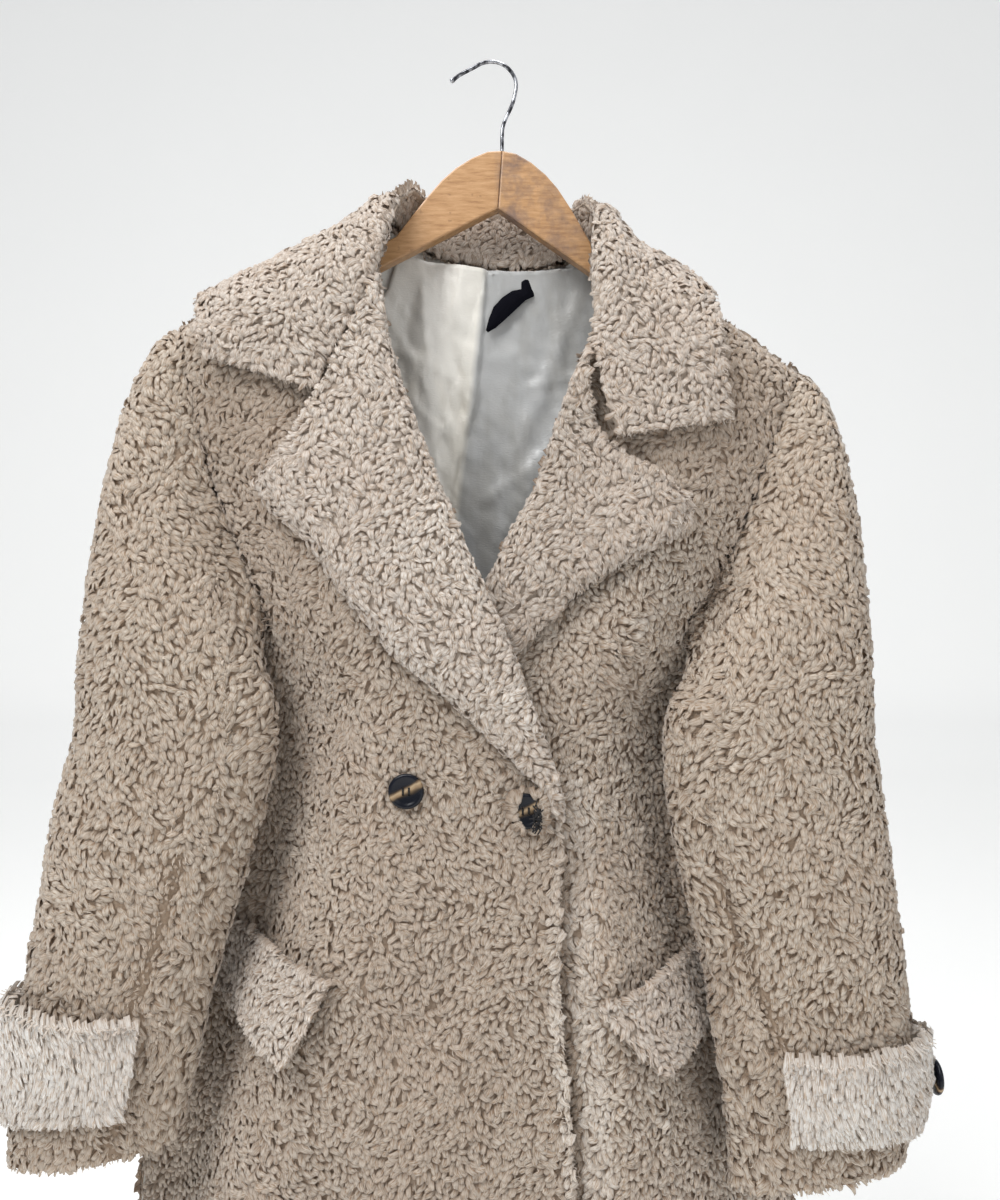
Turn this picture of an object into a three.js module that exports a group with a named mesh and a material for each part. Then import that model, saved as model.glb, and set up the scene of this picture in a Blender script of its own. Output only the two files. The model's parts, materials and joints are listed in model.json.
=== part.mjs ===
// A long faux fur coat on a wooden hanger. Millimetres, +Z up.
// The origin is the point where the hook rests. The front faces -Y and +X is the wearer's left.
import * as THREE from 'three';

const { lerp, smoothstep, degToRad } = THREE.MathUtils;

// Cloth thicknesses: backing and pile together, and the gaps between pieces
const WALL = 10;
const COLLAR_WALL = 11;
const LAPEL_WALL = 12;
const STRAP_WALL = 10;
const LINING_WALL = 1.5;
const SEAM_HALF = 0.2;
const UNDERARM_HALF = 2.4;
const LIFT = 2.6;
const RIDGE_LIFT = 3;
const GORGE_GAP = 2;
const CREST_GAP = 2;
const SEAT_GAP = 0.6;
const LINING_LIFT = 1.9;

// The hanger hangs lower on the wearer's left, and the coat's upper part leans with it
const TILT = 0.07;
const LEAN_ENDS = 650;
const LEAN_FADES = 350;
const CENTRE_LINE = [
  { z: -77, x: 10 },
  { z: -300, x: -5.5 },
  { z: -600, x: -15 },
  { z: -1195, x: -25 },
];

// Shoulders: the seam's line, its rounding, and where the neck hole begins
const NECK_HALF = 95;
const SHOULDER_SLOPE = 0.6;
const SHOULDER_AT = 240;
const SHOULDER_Z = -231;
const ROUNDING = 45;
const ROUNDING_LENGTH = 60;
const NECK_BACK_Z = -168;
const NECK_SIDE_SPREAD = 1.2;

// The body's cross-sections: half width, the side seam's depth, the depths of front and back,
// and the distances from the centre between which the front falls back to the side
const BODY = [
  { z: -100, half: 330, side: 0, front: -30, back: 30, flatTo: 190, fallTo: 400 },
  { z: -180, half: 330, side: 2, front: -38, back: 34, flatTo: 185, fallTo: 380 },
  { z: -250, half: 320, side: 4, front: -52, back: 42, flatTo: 170, fallTo: 350 },
  { z: -335, half: 295, side: 6, front: -62, back: 48, flatTo: 145, fallTo: 315 },
  { z: -430, half: 255, side: 9, front: -74, back: 52, flatTo: 112, fallTo: 255 },
  { z: -488, half: 228, side: 11, front: -80, back: 54, flatTo: 90, fallTo: 215 },
  { z: -540, half: 226, side: 12, front: -83, back: 55, flatTo: 74, fallTo: 172 },
  { z: -620, half: 240, side: 14, front: -86, back: 56, flatTo: 74, fallTo: 172 },
  { z: -700, half: 252, side: 15, front: -88, back: 57, flatTo: 90, fallTo: 190 },
  { z: -780, half: 262, side: 15, front: -90, back: 58, flatTo: 112, fallTo: 212 },
  { z: -906, half: 277, side: 15, front: -92, back: 60, flatTo: 145, fallTo: 250 },
  { z: -1050, half: 290, side: 15, front: -92, back: 62, flatTo: 165, fallTo: 265 },
  { z: -1195, half: 304, side: 15, front: -90, back: 64, flatTo: 175, fallTo: 275 },
];
const RIM_DEPTH = 18;
const SIDE_CAP = 25;
const STEEPEST = 2.5;
const HEM_Z = -1195;

// Rows of a front from the shoulder seam to the underarm: heights at the centre edge, and the armhole
const FRONT_ROWS = [
  { innerZ: -144, x: 262, z: -244.2 },
  { innerZ: -153, x: 257, z: -255 },
  { innerZ: -167, x: 251, z: -270 },
  { innerZ: -186, x: 244, z: -290 },
  { innerZ: -212, x: 235, z: -318 },
  { innerZ: -250, x: 226, z: -350 },
  { innerZ: -290, x: 215, z: -384 },
  { innerZ: -330, x: 203, z: -415 },
  { innerZ: -370, x: 190, z: -444 },
  { innerZ: -408, x: 177, z: -468 },
  { innerZ: -446, x: 170, z: -488 },
  { innerZ: -462, x: 183, z: -495 },
  { innerZ: -478, x: 197, z: -500.5 },
  { innerZ: -491, x: 211, z: -505 },
  { innerZ: -504, x: 226, z: -508 },
];
// Rows of the back from the shoulder seam to the underarm: the armhole's points
const BACK_ROWS = [
  { x: 262, z: -244.2 },
  { x: 258, z: -256 },
  { x: 253, z: -271 },
  { x: 247, z: -291 },
  { x: 241, z: -316 },
  { x: 236, z: -344 },
  { x: 232, z: -374 },
  { x: 229, z: -403 },
  { x: 227, z: -431 },
  { x: 226, z: -456 },
  { x: 225, z: -477 },
  { x: 225, z: -494 },
  { x: 226, z: -508 },
];
const ARMHOLE_CENTRE = { y: 2, z: -375 };
const FRONT_TO_UNDERARM = FRONT_ROWS.length - 1;
const BACK_TO_UNDERARM = BACK_ROWS.length - 1;
const SKIRT_ROWS = 17;
const FRONT_COLUMNS = [0, 0.08, 0.17, 0.26, 0.36, 0.46, 0.56, 0.66, 0.75, 0.84, 0.91, 0.96, 1];
const BACK_ROWS_SINK = 0.9;
const BACK_ROWS_SETTLE = 0.8;
const BACK_HALF_COLUMNS = [0, 0.12, 0.24, 0.36, 0.5, 0.64, 0.76, 0.86, 0.94, 1];

// The closing edges: the right front laps over, the left front lies under it
const RIGHT_EDGE = [
  { z: -592, x: -70 },
  { z: -750, x: -73 },
  { z: -906, x: -87 },
  { z: -1195, x: -95 },
];
const LEFT_EDGE = [
  { z: -510, x: -27 },
  { z: -600, x: -72 },
  { z: -1195, x: -72 },
];
const ROLL_INSET = 3;

// Lapels: the roll edge and the outer edge, top to bottom; x is positive on the wearer's own side.
// A row with a hug keeps by the roll before it runs out, so that it passes below the notch.
const RIGHT_LAPEL = [
  { rollX: 89, rollZ: -202, edgeX: 127, edgeZ: -302 },
  { rollX: 78, rollZ: -251, edgeX: 151, edgeZ: -343, hug: 2.4 },
  { rollX: 62, rollZ: -293, edgeX: 173, edgeZ: -378, hug: 1.3 },
  { rollX: 44, rollZ: -338, edgeX: 157, edgeZ: -399 },
  { rollX: 24, rollZ: -382, edgeX: 135, edgeZ: -413 },
  { rollX: 1, rollZ: -431, edgeX: 102, edgeZ: -457 },
  { rollX: -21, rollZ: -474, edgeX: 61, edgeZ: -502 },
  { rollX: -39, rollZ: -517, edgeX: 17, edgeZ: -534 },
  { rollX: -56, rollZ: -560, edgeX: -18, edgeZ: -566 },
  { rollX: -69, rollZ: -592, edgeX: -53, edgeZ: -598 },
  { rollX: -73, rollZ: -622, edgeX: -67, edgeZ: -619 },
];
const LEFT_LAPEL = [
  { rollX: 79, rollZ: -250, edgeX: 96, edgeZ: -321 },
  { rollX: 72, rollZ: -268, edgeX: 116, edgeZ: -334, hug: 6 },
  { rollX: 65, rollZ: -290, edgeX: 144, edgeZ: -351, hug: 4 },
  { rollX: 57, rollZ: -315, edgeX: 163, edgeZ: -369, hug: 2 },
  { rollX: 50, rollZ: -342, edgeX: 161, edgeZ: -387, hug: 1.5 },
  { rollX: 42, rollZ: -367, edgeX: 137, edgeZ: -405, hug: 1.2 },
  { rollX: 29, rollZ: -392, edgeX: 112, edgeZ: -426 },
  { rollX: 16, rollZ: -424, edgeX: 83, edgeZ: -448 },
  { rollX: 2, rollZ: -452, edgeX: 57, edgeZ: -472 },
  { rollX: -12, rollZ: -478, edgeX: 32, edgeZ: -500 },
  { rollX: -29, rollZ: -510, edgeX: 1, edgeZ: -530 },
];
const LAPEL_COLUMNS = [0, 0.1, 0.3, 0.5, 0.7, 0.9, 1];
const RIGHT_LAPEL_LIFT = 3.5;
const LEFT_LAPEL_LIFT = 5;
const LAPEL_PUFF = 5;
const HUG_DROP = 0.08;

// The left front sinks below the right one where they lap
const LAP_DEPTH = 27;
const LAP_DEPTH_BELOW = 18;
const LAP_FLAT = 70;
const LAP_ENDS = 140;

// Collar stations from the front corner to the centre back, in the cloth's own coordinates:
// x from the centre, and across, the distance from the shoulder ridge, minus in front, plus behind
const RIGHT_COLLAR = [
  { crestX: 129, crestAcross: -150, lift: 14, edgeX: 220, edgeAcross: -73, puff: 2 },
  { crestX: 118, crestAcross: -127, lift: 14, edgeX: 230, edgeAcross: -49, puff: 2 },
  { crestX: 103, crestAcross: -100, lift: 14, edgeX: 234, edgeAcross: -24, puff: 3 },
  { crestX: 90, crestAcross: -74, lift: 14, edgeX: 228, edgeAcross: -3, puff: 4 },
  { crestX: 82, crestAcross: -48, lift: 13, edgeX: 218, edgeAcross: 16, puff: 6 },
  { crestX: 72, crestAcross: -24, lift: 14, edgeX: 200, edgeAcross: 38, puff: 8 },
  { crestX: 62, crestAcross: 0, lift: 17, edgeX: 166, edgeAcross: 72, puff: 10 },
  { crestX: 50, crestAcross: 22, lift: 15, edgeX: 122, edgeAcross: 106, puff: 10 },
  { crestX: 28, crestAcross: 36, lift: 14, edgeX: 64, edgeAcross: 136, puff: 10 },
];
const CENTRE_COLLAR = { crestX: 0, crestAcross: 44, lift: 13, edgeX: 0, edgeAcross: 150, puff: 10 };
const LEFT_COLLAR = [
  { crestX: 105, crestAcross: -185, lift: 14, edgeX: 196, edgeAcross: -109, puff: 2 },
  { crestX: 92, crestAcross: -160, lift: 14, edgeX: 187, edgeAcross: -74, puff: 2 },
  { crestX: 84, crestAcross: -130, lift: 14, edgeX: 182, edgeAcross: -53, puff: 3 },
  { crestX: 80, crestAcross: -98, lift: 14, edgeX: 175, edgeAcross: -27, puff: 4 },
  { crestX: 77, crestAcross: -62, lift: 13, edgeX: 168, edgeAcross: 0, puff: 6 },
  { crestX: 71, crestAcross: -28, lift: 14, edgeX: 152, edgeAcross: 40, puff: 8 },
  { crestX: 62, crestAcross: 0, lift: 17, edgeX: 124, edgeAcross: 80, puff: 10 },
  { crestX: 50, crestAcross: 22, lift: 15, edgeX: 88, edgeAcross: 113, puff: 10 },
  { crestX: 28, crestAcross: 36, lift: 14, edgeX: 46, edgeAcross: 138, puff: 10 },
];
const COLLAR_COLUMNS = [0, 0.07, 0.17, 0.3, 0.45, 0.62, 0.8, 1];
const PUFF_AT = 0.17;
const PUFF_WIDTH = 0.14;

// The stand's lower edge from the side of the neck to the centre back, one row for each station
const STAND = [
  { x: 89, y: -15, z: -137 },
  { x: 87, y: 1, z: -135 },
  { x: 73, y: 19, z: -147 },
  { x: 40, y: 21.5, z: -160 },
];
const STAND_CENTRE = { x: 0, y: 21.5, z: -165.5 };
const STAND_FROM_STATION = 5;
const STAND_WALL = 7;
const STAND_TURN = { times: 2.4, shift: -4 };
const CREST_WALL = 4;
const CREST_ENDS = 0.5;
const STAND_STEPS = 4;

// Sleeves below the armhole: centre, half width, centre depth and half depth at each height
const RIGHT_SLEEVE = [
  { z: -560, x: -250, half: 82, y: -50, deep: 33 },
  { z: -605, x: -258, half: 85, y: -52, deep: 34 },
  { z: -655, x: -270, half: 82, y: -55, deep: 34 },
  { z: -705, x: -280, half: 79, y: -58, deep: 34 },
  { z: -760, x: -292, half: 75, y: -60, deep: 33 },
  { z: -810, x: -300, half: 73, y: -61, deep: 32 },
  { z: -860, x: -307, half: 70, y: -62, deep: 32 },
  { z: -887, x: -311, half: 68, y: -62, deep: 32 },
];
const LEFT_SLEEVE = [
  { z: -560, x: 223, half: 85, y: -50, deep: 33 },
  { z: -611, x: 227, half: 87, y: -52, deep: 34 },
  { z: -673, x: 236, half: 85, y: -55, deep: 34 },
  { z: -747, x: 249, half: 81, y: -58, deep: 33 },
  { z: -811, x: 256, half: 78, y: -60, deep: 32 },
  { z: -864, x: 260, half: 74, y: -61, deep: 32 },
  { z: -904, x: 258, half: 69, y: -61, deep: 31 },
];
const RING = FRONT_TO_UNDERARM + BACK_TO_UNDERARM;
const MEDIAL_INDEX = 10;
const UNDERARM_DEGREES = 262;
const FRONT_SEAM_INDEX = 7;
const BACK_SEAM_INDEX = 17;
const CAP_STEPS = [0.1, 0.22, 0.36, 0.52, 0.7, 0.86];
const CAP_REACH = 46;
const CAP_FORWARD = 14;
const SLEEVE_ROW_HEIGHT = 32;
// Both cuffs rise a little towards the wearer's left, most at their very end
const CUFF_SLANT = 0.14;
const CUFF_SLANT_BEFORE_END = 0.4;
// The wall is thinner in the tight bend behind the underarm
const THIN_AT = 15.5;
const THIN_WIDTH = 3.2;
const THIN_BY = 0.8;

// Cuff straps: the edges' heights at the sewn end and at the outer side, and their lift off it
const RIGHT_STRAP = { sewnTop: -777, sideTop: -768, sewnBottom: -848, sideBottom: -861, lift: 1.1 };
const LEFT_STRAP = { sewnTop: -805, sideTop: -796, sewnBottom: -867, sideBottom: -868, lift: 0.7 };
const STRAP_START_DEGREES = 112;
const STRAP_END_DEGREES = -30;
const STRAP_SLOPES_TO = 0.8;
const STRAP_FLARES_FROM = 0.25;
const CUFF_BUTTON_GAP = 0.85;
const STRAP_STEPS = 9;
const STRAP_ROWS = 3;
const STRAP_FLARE = 7;

// Pocket flaps: corners on the front, their lift off it, and how far the lower edge stands off
const RIGHT_FLAP = {
  topIn: [103, -744], topOut: [206, -724], lowIn: [127, -805], lowOut: [206, -780], lift: 3.1,
};
const LEFT_FLAP = {
  topIn: [103, -763], topOut: [203, -738], lowIn: [140, -818], lowOut: [205, -797], lift: 3.5,
};
const FLAP_WALL = 11;
const FLAP_STAND_OFF = 12;
const FLAP_STEPS = 7;
const FLAP_ROWS = 3;

// Soft folds: ridges are plus, hollows minus; x and z at both ends, width and height
const FRONT_FOLDS = [
  { fromX: -8, fromZ: -690, toX: -52, toZ: -860, width: 24, height: -9 },
  { fromX: 30, fromZ: -760, toX: 4, toZ: -1010, width: 26, height: -7 },
  { fromX: -110, fromZ: -850, toX: -135, toZ: -1195, width: 24, height: -9 },
  { fromX: -150, fromZ: -540, toX: -118, toZ: -640, width: 22, height: -6 },
  { fromX: 60, fromZ: -860, toX: 52, toZ: -1195, width: 26, height: -6 },
  { fromX: 96, fromZ: -640, toX: 116, toZ: -1195, width: 22, height: 9 },
  { fromX: 160, fromZ: -830, toX: 178, toZ: -1195, width: 26, height: -10 },
];
const BACK_FOLDS = [
  { fromX: -66, fromZ: -430, toX: -92, toZ: -1195, width: 26, height: -9 },
  { fromX: 74, fromZ: -520, toX: 88, toZ: -1195, width: 28, height: -8 },
  { fromX: 8, fromZ: -640, toX: -6, toZ: -1195, width: 24, height: 8 },
  { fromX: -150, fromZ: -600, toX: -178, toZ: -1195, width: 24, height: 7 },
  { fromX: 158, fromZ: -700, toX: 184, toZ: -1195, width: 26, height: 7 },
];
const FOLD_FADE = 90;

// Buttons: 27 mm across; out is how far the back stands off the front, turn is in degrees
const BUTTON_RADIUS = 13.7;
const BUTTON_HEIGHT = 4.2;
const BUTTON_TOP = { x: -48, z: -602, out: 1.2, turn: 0 };
const BUTTON_WAIST = { x: 44, z: -616, out: 4.7, turn: 22 };

// Lining of the back with its centre pleat, and the label at the neck
const LINING_BOTTOM = -625;
const LINING_TOP_HALF = 62;
const LINING_TOP_DROP = 10;
const LINING_HALF = 122;
const LINING_ROWS = 15;
const LINING_COLUMNS = [-1, -0.7, -0.46, -0.34, -0.3, -0.08, -0.04, 0.12, 0.4, 0.7, 1];
const PLEAT = { left: -38, right: -9, leanPerMm: 0.17, height: 6, ends: -420 };
const LABEL = [
  { x: 27, z: -176, half: 8, out: 0.4 },
  { x: 26, z: -188, half: 9, out: 3.2 },
  { x: 17, z: -200, half: 11, out: 6.2 },
  { x: 7, z: -211, half: 8, out: 4.2 },
  { x: -3, z: -222, half: 2.5, out: 1.2 },
];
const LABEL_WALL = 1.2;

// Hanger: half of its front outline from the mitre outwards, apex at its own zero
const HANGER_APEX = { x: 10.2, z: -76.6 };
const HANGER_THICK = 13;
const HANGER_TOP = [
  { x: 0, z: 0 },
  { x: 12, z: -1.5 },
  { x: 25, z: -8 },
  { x: 38, z: -17.5 },
  { x: 49, z: -28.5 },
  { x: 60, z: -43 },
  { x: 71, z: -59 },
  { x: 84, z: -78.5 },
];
const HANGER_LOW_CENTRE = -49;
const HANGER_REACH = 222;
const HANGER_TOP_DROP = 17;
const HANGER_ARM_HEIGHT = 22;
const HANGER_STRAIGHT_FROM = 110;
const HANGER_ELBOW = 84;
const HANGER_TIP = 8;
const HANGER_BEVEL = 1.5;
const MITRE_GAP = 0.15;

// Hook: wire and the centre of its round
const WIRE_RADIUS = 1.6;
const HOOK_RADIUS = 22.3;
const HOOK_TIP = [[-33.6, -15.5], [-29.5, -12.6], [-25, -9.4]];
const HOOK_ROUND = { from: 132, to: -24, step: 26 };
const HOOK_STEM = [[17.6, -38], [13.8, -46], [11, -54], [10.3, -62]];
const HOOK_ABOVE_WOOD = 0.4;
const HOOK_SEGMENTS = 64;
const WIRE_SIDES = 8;

// Reads a column of a table at a height, smoothly or in straight stretches
function columnAt(rows, z, column, smooth = false) {
  const last = rows.length - 1;
  if (z >= rows[0].z) return rows[0][column];
  if (z <= rows[last].z) return rows[last][column];
  const i = rows.findIndex((row) => row.z <= z);
  const high = rows[i - 1];
  const low = rows[i];
  const t = (high.z - z) / (high.z - low.z);
  if (!smooth) return lerp(high[column], low[column], t);
  const above = rows[Math.max(i - 2, 0)];
  const below = rows[Math.min(i + 1, last)];
  const span = high.z - low.z;
  const startSlope = (span * (low[column] - above[column])) / (above.z - low.z);
  const endSlope = (span * (below[column] - high[column])) / (high.z - below.z);
  const t2 = t * t;
  const t3 = t2 * t;
  return (2 * t3 - 3 * t2 + 1) * high[column] + (t3 - 2 * t2 + t) * startSlope
    + (3 * t2 - 2 * t3) * low[column] + (t3 - t2) * endSlope;
}

function bodyAt(z) {
  const row = {};
  for (const name of ['half', 'side', 'front', 'back', 'flatTo', 'fallTo']) {
    row[name] = columnAt(BODY, z, name, true);
  }
  return row;
}

function shoulderZ(x) {
  return SHOULDER_Z - SHOULDER_SLOPE * (Math.abs(x) - SHOULDER_AT);
}

// Runs from 0 on the shoulder seam to 1 where the cloth has turned down
function roundOver(x, z) {
  const inside = NECK_HALF - Math.abs(x);
  const neckZ = shoulderZ(NECK_HALF);
  let below = shoulderZ(x) - z;
  if (inside > 0) below = Math.hypot(NECK_SIDE_SPREAD * inside, Math.max(0, neckZ - z));
  const t = Math.min(1, Math.max(0, below) / ROUNDING);
  return Math.sqrt(1 - (1 - t) ** 2);
}

function foldsAt(folds, x, z) {
  let sum = 0;
  for (const fold of folds) {
    const t = (fold.fromZ - z) / (fold.fromZ - fold.toZ);
    const start = smoothstep(fold.fromZ - z, 0, FOLD_FADE);
    const end = fold.toZ <= HEM_Z ? 1 : smoothstep(z - fold.toZ, 0, FOLD_FADE);
    const off = (x - lerp(fold.fromX, fold.toX, t)) / fold.width;
    sum += fold.height * start * end * Math.exp(-off * off);
  }
  return sum;
}

function roundSide(y, x, row) {
  const t = (Math.abs(x) - (row.half - SIDE_CAP)) / SIDE_CAP;
  if (t <= 0) return y;
  return row.side + (y - row.side) * Math.sqrt(Math.max(0, 1 - t * t));
}

function frontY(x, z) {
  const row = bodyAt(z);
  const rim = row.side - RIM_DEPTH;
  const full = 1 - smoothstep(Math.abs(x), row.flatTo, row.fallTo);
  let y = rim + (row.front - rim) * full;
  y -= foldsAt(FRONT_FOLDS, x, z) * lerp(0.5, 1, full);
  y = roundSide(y, x, row);
  return y * roundOver(x, z);
}

function backY(x, z) {
  const row = bodyAt(z);
  const rim = row.side + RIM_DEPTH;
  const full = 1 - smoothstep(Math.abs(x), 50, row.half - SIDE_CAP);
  let y = rim + (row.back - rim) * full;
  y += foldsAt(BACK_FOLDS, x, z);
  y = roundSide(y, x, row);
  return y * roundOver(x, z);
}

// The left front is behind the right one where they lap
function leftFrontY(x, z) {
  const deep = lerp(LAP_DEPTH, LAP_DEPTH_BELOW, smoothstep(-z, 560, 680));
  const above = smoothstep(-z, 230, 400);
  return frontY(x, z) + deep * above * (1 - smoothstep(x, LAP_FLAT, LAP_ENDS));
}

// Leans a point of the cloth with the hanger and moves it to the coat's centre line
function hang(point) {
  const lean = 1 - smoothstep(-point.z, LEAN_FADES, LEAN_ENDS);
  const shift = columnAt(CENTRE_LINE, point.z, 'x');
  return new THREE.Vector3(point.x + shift, point.y, point.z - TILT * point.x * lean);
}

// The outward direction of a surface given as a depth over x and z
function outward(depth, x, z, facing) {
  const step = 1;
  const slopeX = (depth(x + step, z) - depth(x - step, z)) / (2 * step);
  const slopeZ = (depth(x, z + step) - depth(x, z - step)) / (2 * step);
  const sx = Math.max(-STEEPEST, Math.min(STEEPEST, slopeX));
  const sz = Math.max(-STEEPEST, Math.min(STEEPEST, slopeZ));
  return new THREE.Vector3(-facing * sx, facing, -facing * sz).normalize();
}

// Closes an outer and an inner grid of points into one wall
function wallGeometry(outer, inner) {
  const rows = outer.length;
  const cols = outer[0].length;
  const positions = [...outer.flat(), ...inner.flat()].flatMap((p) => [p.x, p.y, p.z]);
  const far = rows * cols;
  const at = (r, c) => r * cols + c;
  const index = [];
  const quad = (a, b, c, d) => index.push(a, b, c, a, c, d);
  for (let r = 0; r < rows - 1; r++) {
    for (let c = 0; c < cols - 1; c++) {
      quad(at(r, c), at(r, c + 1), at(r + 1, c + 1), at(r + 1, c));
      quad(far + at(r, c), far + at(r + 1, c), far + at(r + 1, c + 1), far + at(r, c + 1));
    }
  }
  for (let c = 0; c < cols - 1; c++) {
    quad(at(0, c), far + at(0, c), far + at(0, c + 1), at(0, c + 1));
    const r = rows - 1;
    quad(at(r, c), at(r, c + 1), far + at(r, c + 1), far + at(r, c));
  }
  for (let r = 0; r < rows - 1; r++) {
    quad(at(r, 0), at(r + 1, 0), far + at(r + 1, 0), far + at(r, 0));
    const c = cols - 1;
    quad(at(r, c), far + at(r, c), far + at(r + 1, c), at(r + 1, c));
  }
  return facingOut(positions, index);
}

// Turns the faces outwards, told by the sign of the volume
function facingOut(positions, index) {
  const point = (i) => new THREE.Vector3().fromArray(positions, 3 * i);
  let volume = 0;
  for (let i = 0; i < index.length; i += 3) {
    volume += point(index[i]).dot(point(index[i + 1]).cross(point(index[i + 2])));
  }
  if (volume < 0) index.reverse();
  const geometry = new THREE.BufferGeometry();
  geometry.setAttribute('position', new THREE.Float32BufferAttribute(positions, 3));
  geometry.setIndex(index);
  geometry.computeVertexNormals();
  return geometry;
}

// Moves one edge of a wall a little towards its neighbour row or column
function pullIn(outer, inner, edge, amount = SEAM_HALF) {
  const rows = outer.length;
  const cols = outer[0].length;
  const places = {
    top: () => outer[0].map((_, c) => [0, c, 1, c]),
    bottom: () => outer[0].map((_, c) => [rows - 1, c, rows - 2, c]),
    first: () => outer.map((_, r) => [r, 0, r, 1]),
    last: () => outer.map((_, r) => [r, cols - 1, r, cols - 2]),
  };
  for (const [r, c, r2, c2] of places[edge]()) {
    const move = outer[r2][c2].clone().sub(outer[r][c]).setLength(amount);
    outer[r][c].add(move);
    inner[r][c].add(move);
  }
}

// The seam round an armhole, from the shoulder down the front and up the back: its points, the
// thickness direction towards its middle, and the direction from the body to the sleeve
function armholeSeam(side, frontDepth) {
  const points = [];
  for (let k = 0; k < RING; k++) {
    const front = k <= FRONT_TO_UNDERARM;
    const { x, z } = front ? FRONT_ROWS[k] : BACK_ROWS[RING - k];
    const depth = front ? frontDepth : backY;
    points.push(new THREE.Vector3(side * x, depth(side * x, z), z));
  }
  return points.map((point, k) => {
    const inward = new THREE.Vector3(0, ARMHOLE_CENTRE.y - point.y, ARMHOLE_CENTRE.z - point.z);
    inward.setLength(WALL);
    const along = points[(k + 1) % RING].clone().sub(points[(k + RING - 1) % RING]);
    const low = (1 - Math.cos((2 * Math.PI * k) / RING)) / 2;
    const toSleeve = along.cross(inward).setLength(side * lerp(SEAM_HALF, UNDERARM_HALF, low ** 4));
    return { point, inward, toSleeve };
  });
}

// Where a front's centre edge lies at a height, told by its lapel and its closing edge
function centreEdgeX(z, lapel, edge) {
  const roll = lapel.map((row) => ({ z: row.rollZ, x: row.rollX }));
  const top = { z: shoulderZ(NECK_HALF), x: NECK_HALF - ROLL_INSET };
  const rows = [top, ...roll, ...edge.filter((row) => row.z < roll[roll.length - 1].z)];
  return columnAt(rows, z, 'x') + ROLL_INSET;
}

function frontRows(lapel, edge) {
  const rows = FRONT_ROWS.map((row, r) => ({
    in: { x: centreEdgeX(row.innerZ, lapel, edge), z: row.innerZ },
    out: { x: row.x, z: row.z },
    seamIndex: r,
  }));
  const start = FRONT_ROWS[FRONT_TO_UNDERARM];
  for (let i = 1; i <= SKIRT_ROWS; i++) {
    const t = i / SKIRT_ROWS;
    const innerZ = lerp(start.innerZ, HEM_Z, t);
    const outerZ = lerp(start.z, HEM_Z, t);
    rows.push({
      in: { x: centreEdgeX(innerZ, lapel, edge), z: innerZ },
      out: { x: bodyAt(outerZ).half, z: outerZ },
    });
  }
  return rows;
}

// One front: shoulder seam, armhole, side seam, hem and centre edge
function frontPanel(side, depth, lapel, edge) {
  const outer = [];
  const inner = [];
  const rows = frontRows(lapel, edge);
  const armhole = armholeSeam(side, depth);
  rows.forEach((row, r) => {
    const outerRow = [];
    const innerRow = [];
    FRONT_COLUMNS.forEach((t, c) => {
      const x = side * lerp(row.in.x, row.out.x, t);
      const z = lerp(row.in.z, row.out.z, t);
      const point = new THREE.Vector3(x, depth(x, z), z);
      let back = outward(depth, x, z, -1).multiplyScalar(-WALL);
      const atSide = c === FRONT_COLUMNS.length - 1;
      if (r === 0) back = new THREE.Vector3(0, 0, -WALL);
      if (atSide && row.seamIndex === undefined) back = new THREE.Vector3(-side * WALL, 0, 0);
      if (atSide && row.seamIndex !== undefined) {
        const seam = armhole[row.seamIndex];
        back = seam.inward;
        point.sub(seam.toSleeve);
      }
      outerRow.push(point);
      innerRow.push(point.clone().add(back));
    });
    outer.push(outerRow);
    inner.push(innerRow);
  });
  pullSeams(outer, inner, -1, FRONT_TO_UNDERARM);
  return wallGeometry(outer.map((row) => row.map(hang)), inner.map((row) => row.map(hang)));
}

// Opens the shoulder seam and the side seam by moving the front forwards and the back backwards
function pullSeams(outer, inner, facing, underarm) {
  const last = outer[0].length - 1;
  const shift = (r, c) => {
    outer[r][c].y += facing * SEAM_HALF;
    inner[r][c].y += facing * SEAM_HALF;
  };
  for (let c = 0; c <= last; c++) shift(0, c);
  for (let r = underarm; r < outer.length; r++) shift(r, last);
  if (facing > 0) for (let r = underarm; r < outer.length; r++) shift(r, 0);
}

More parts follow.
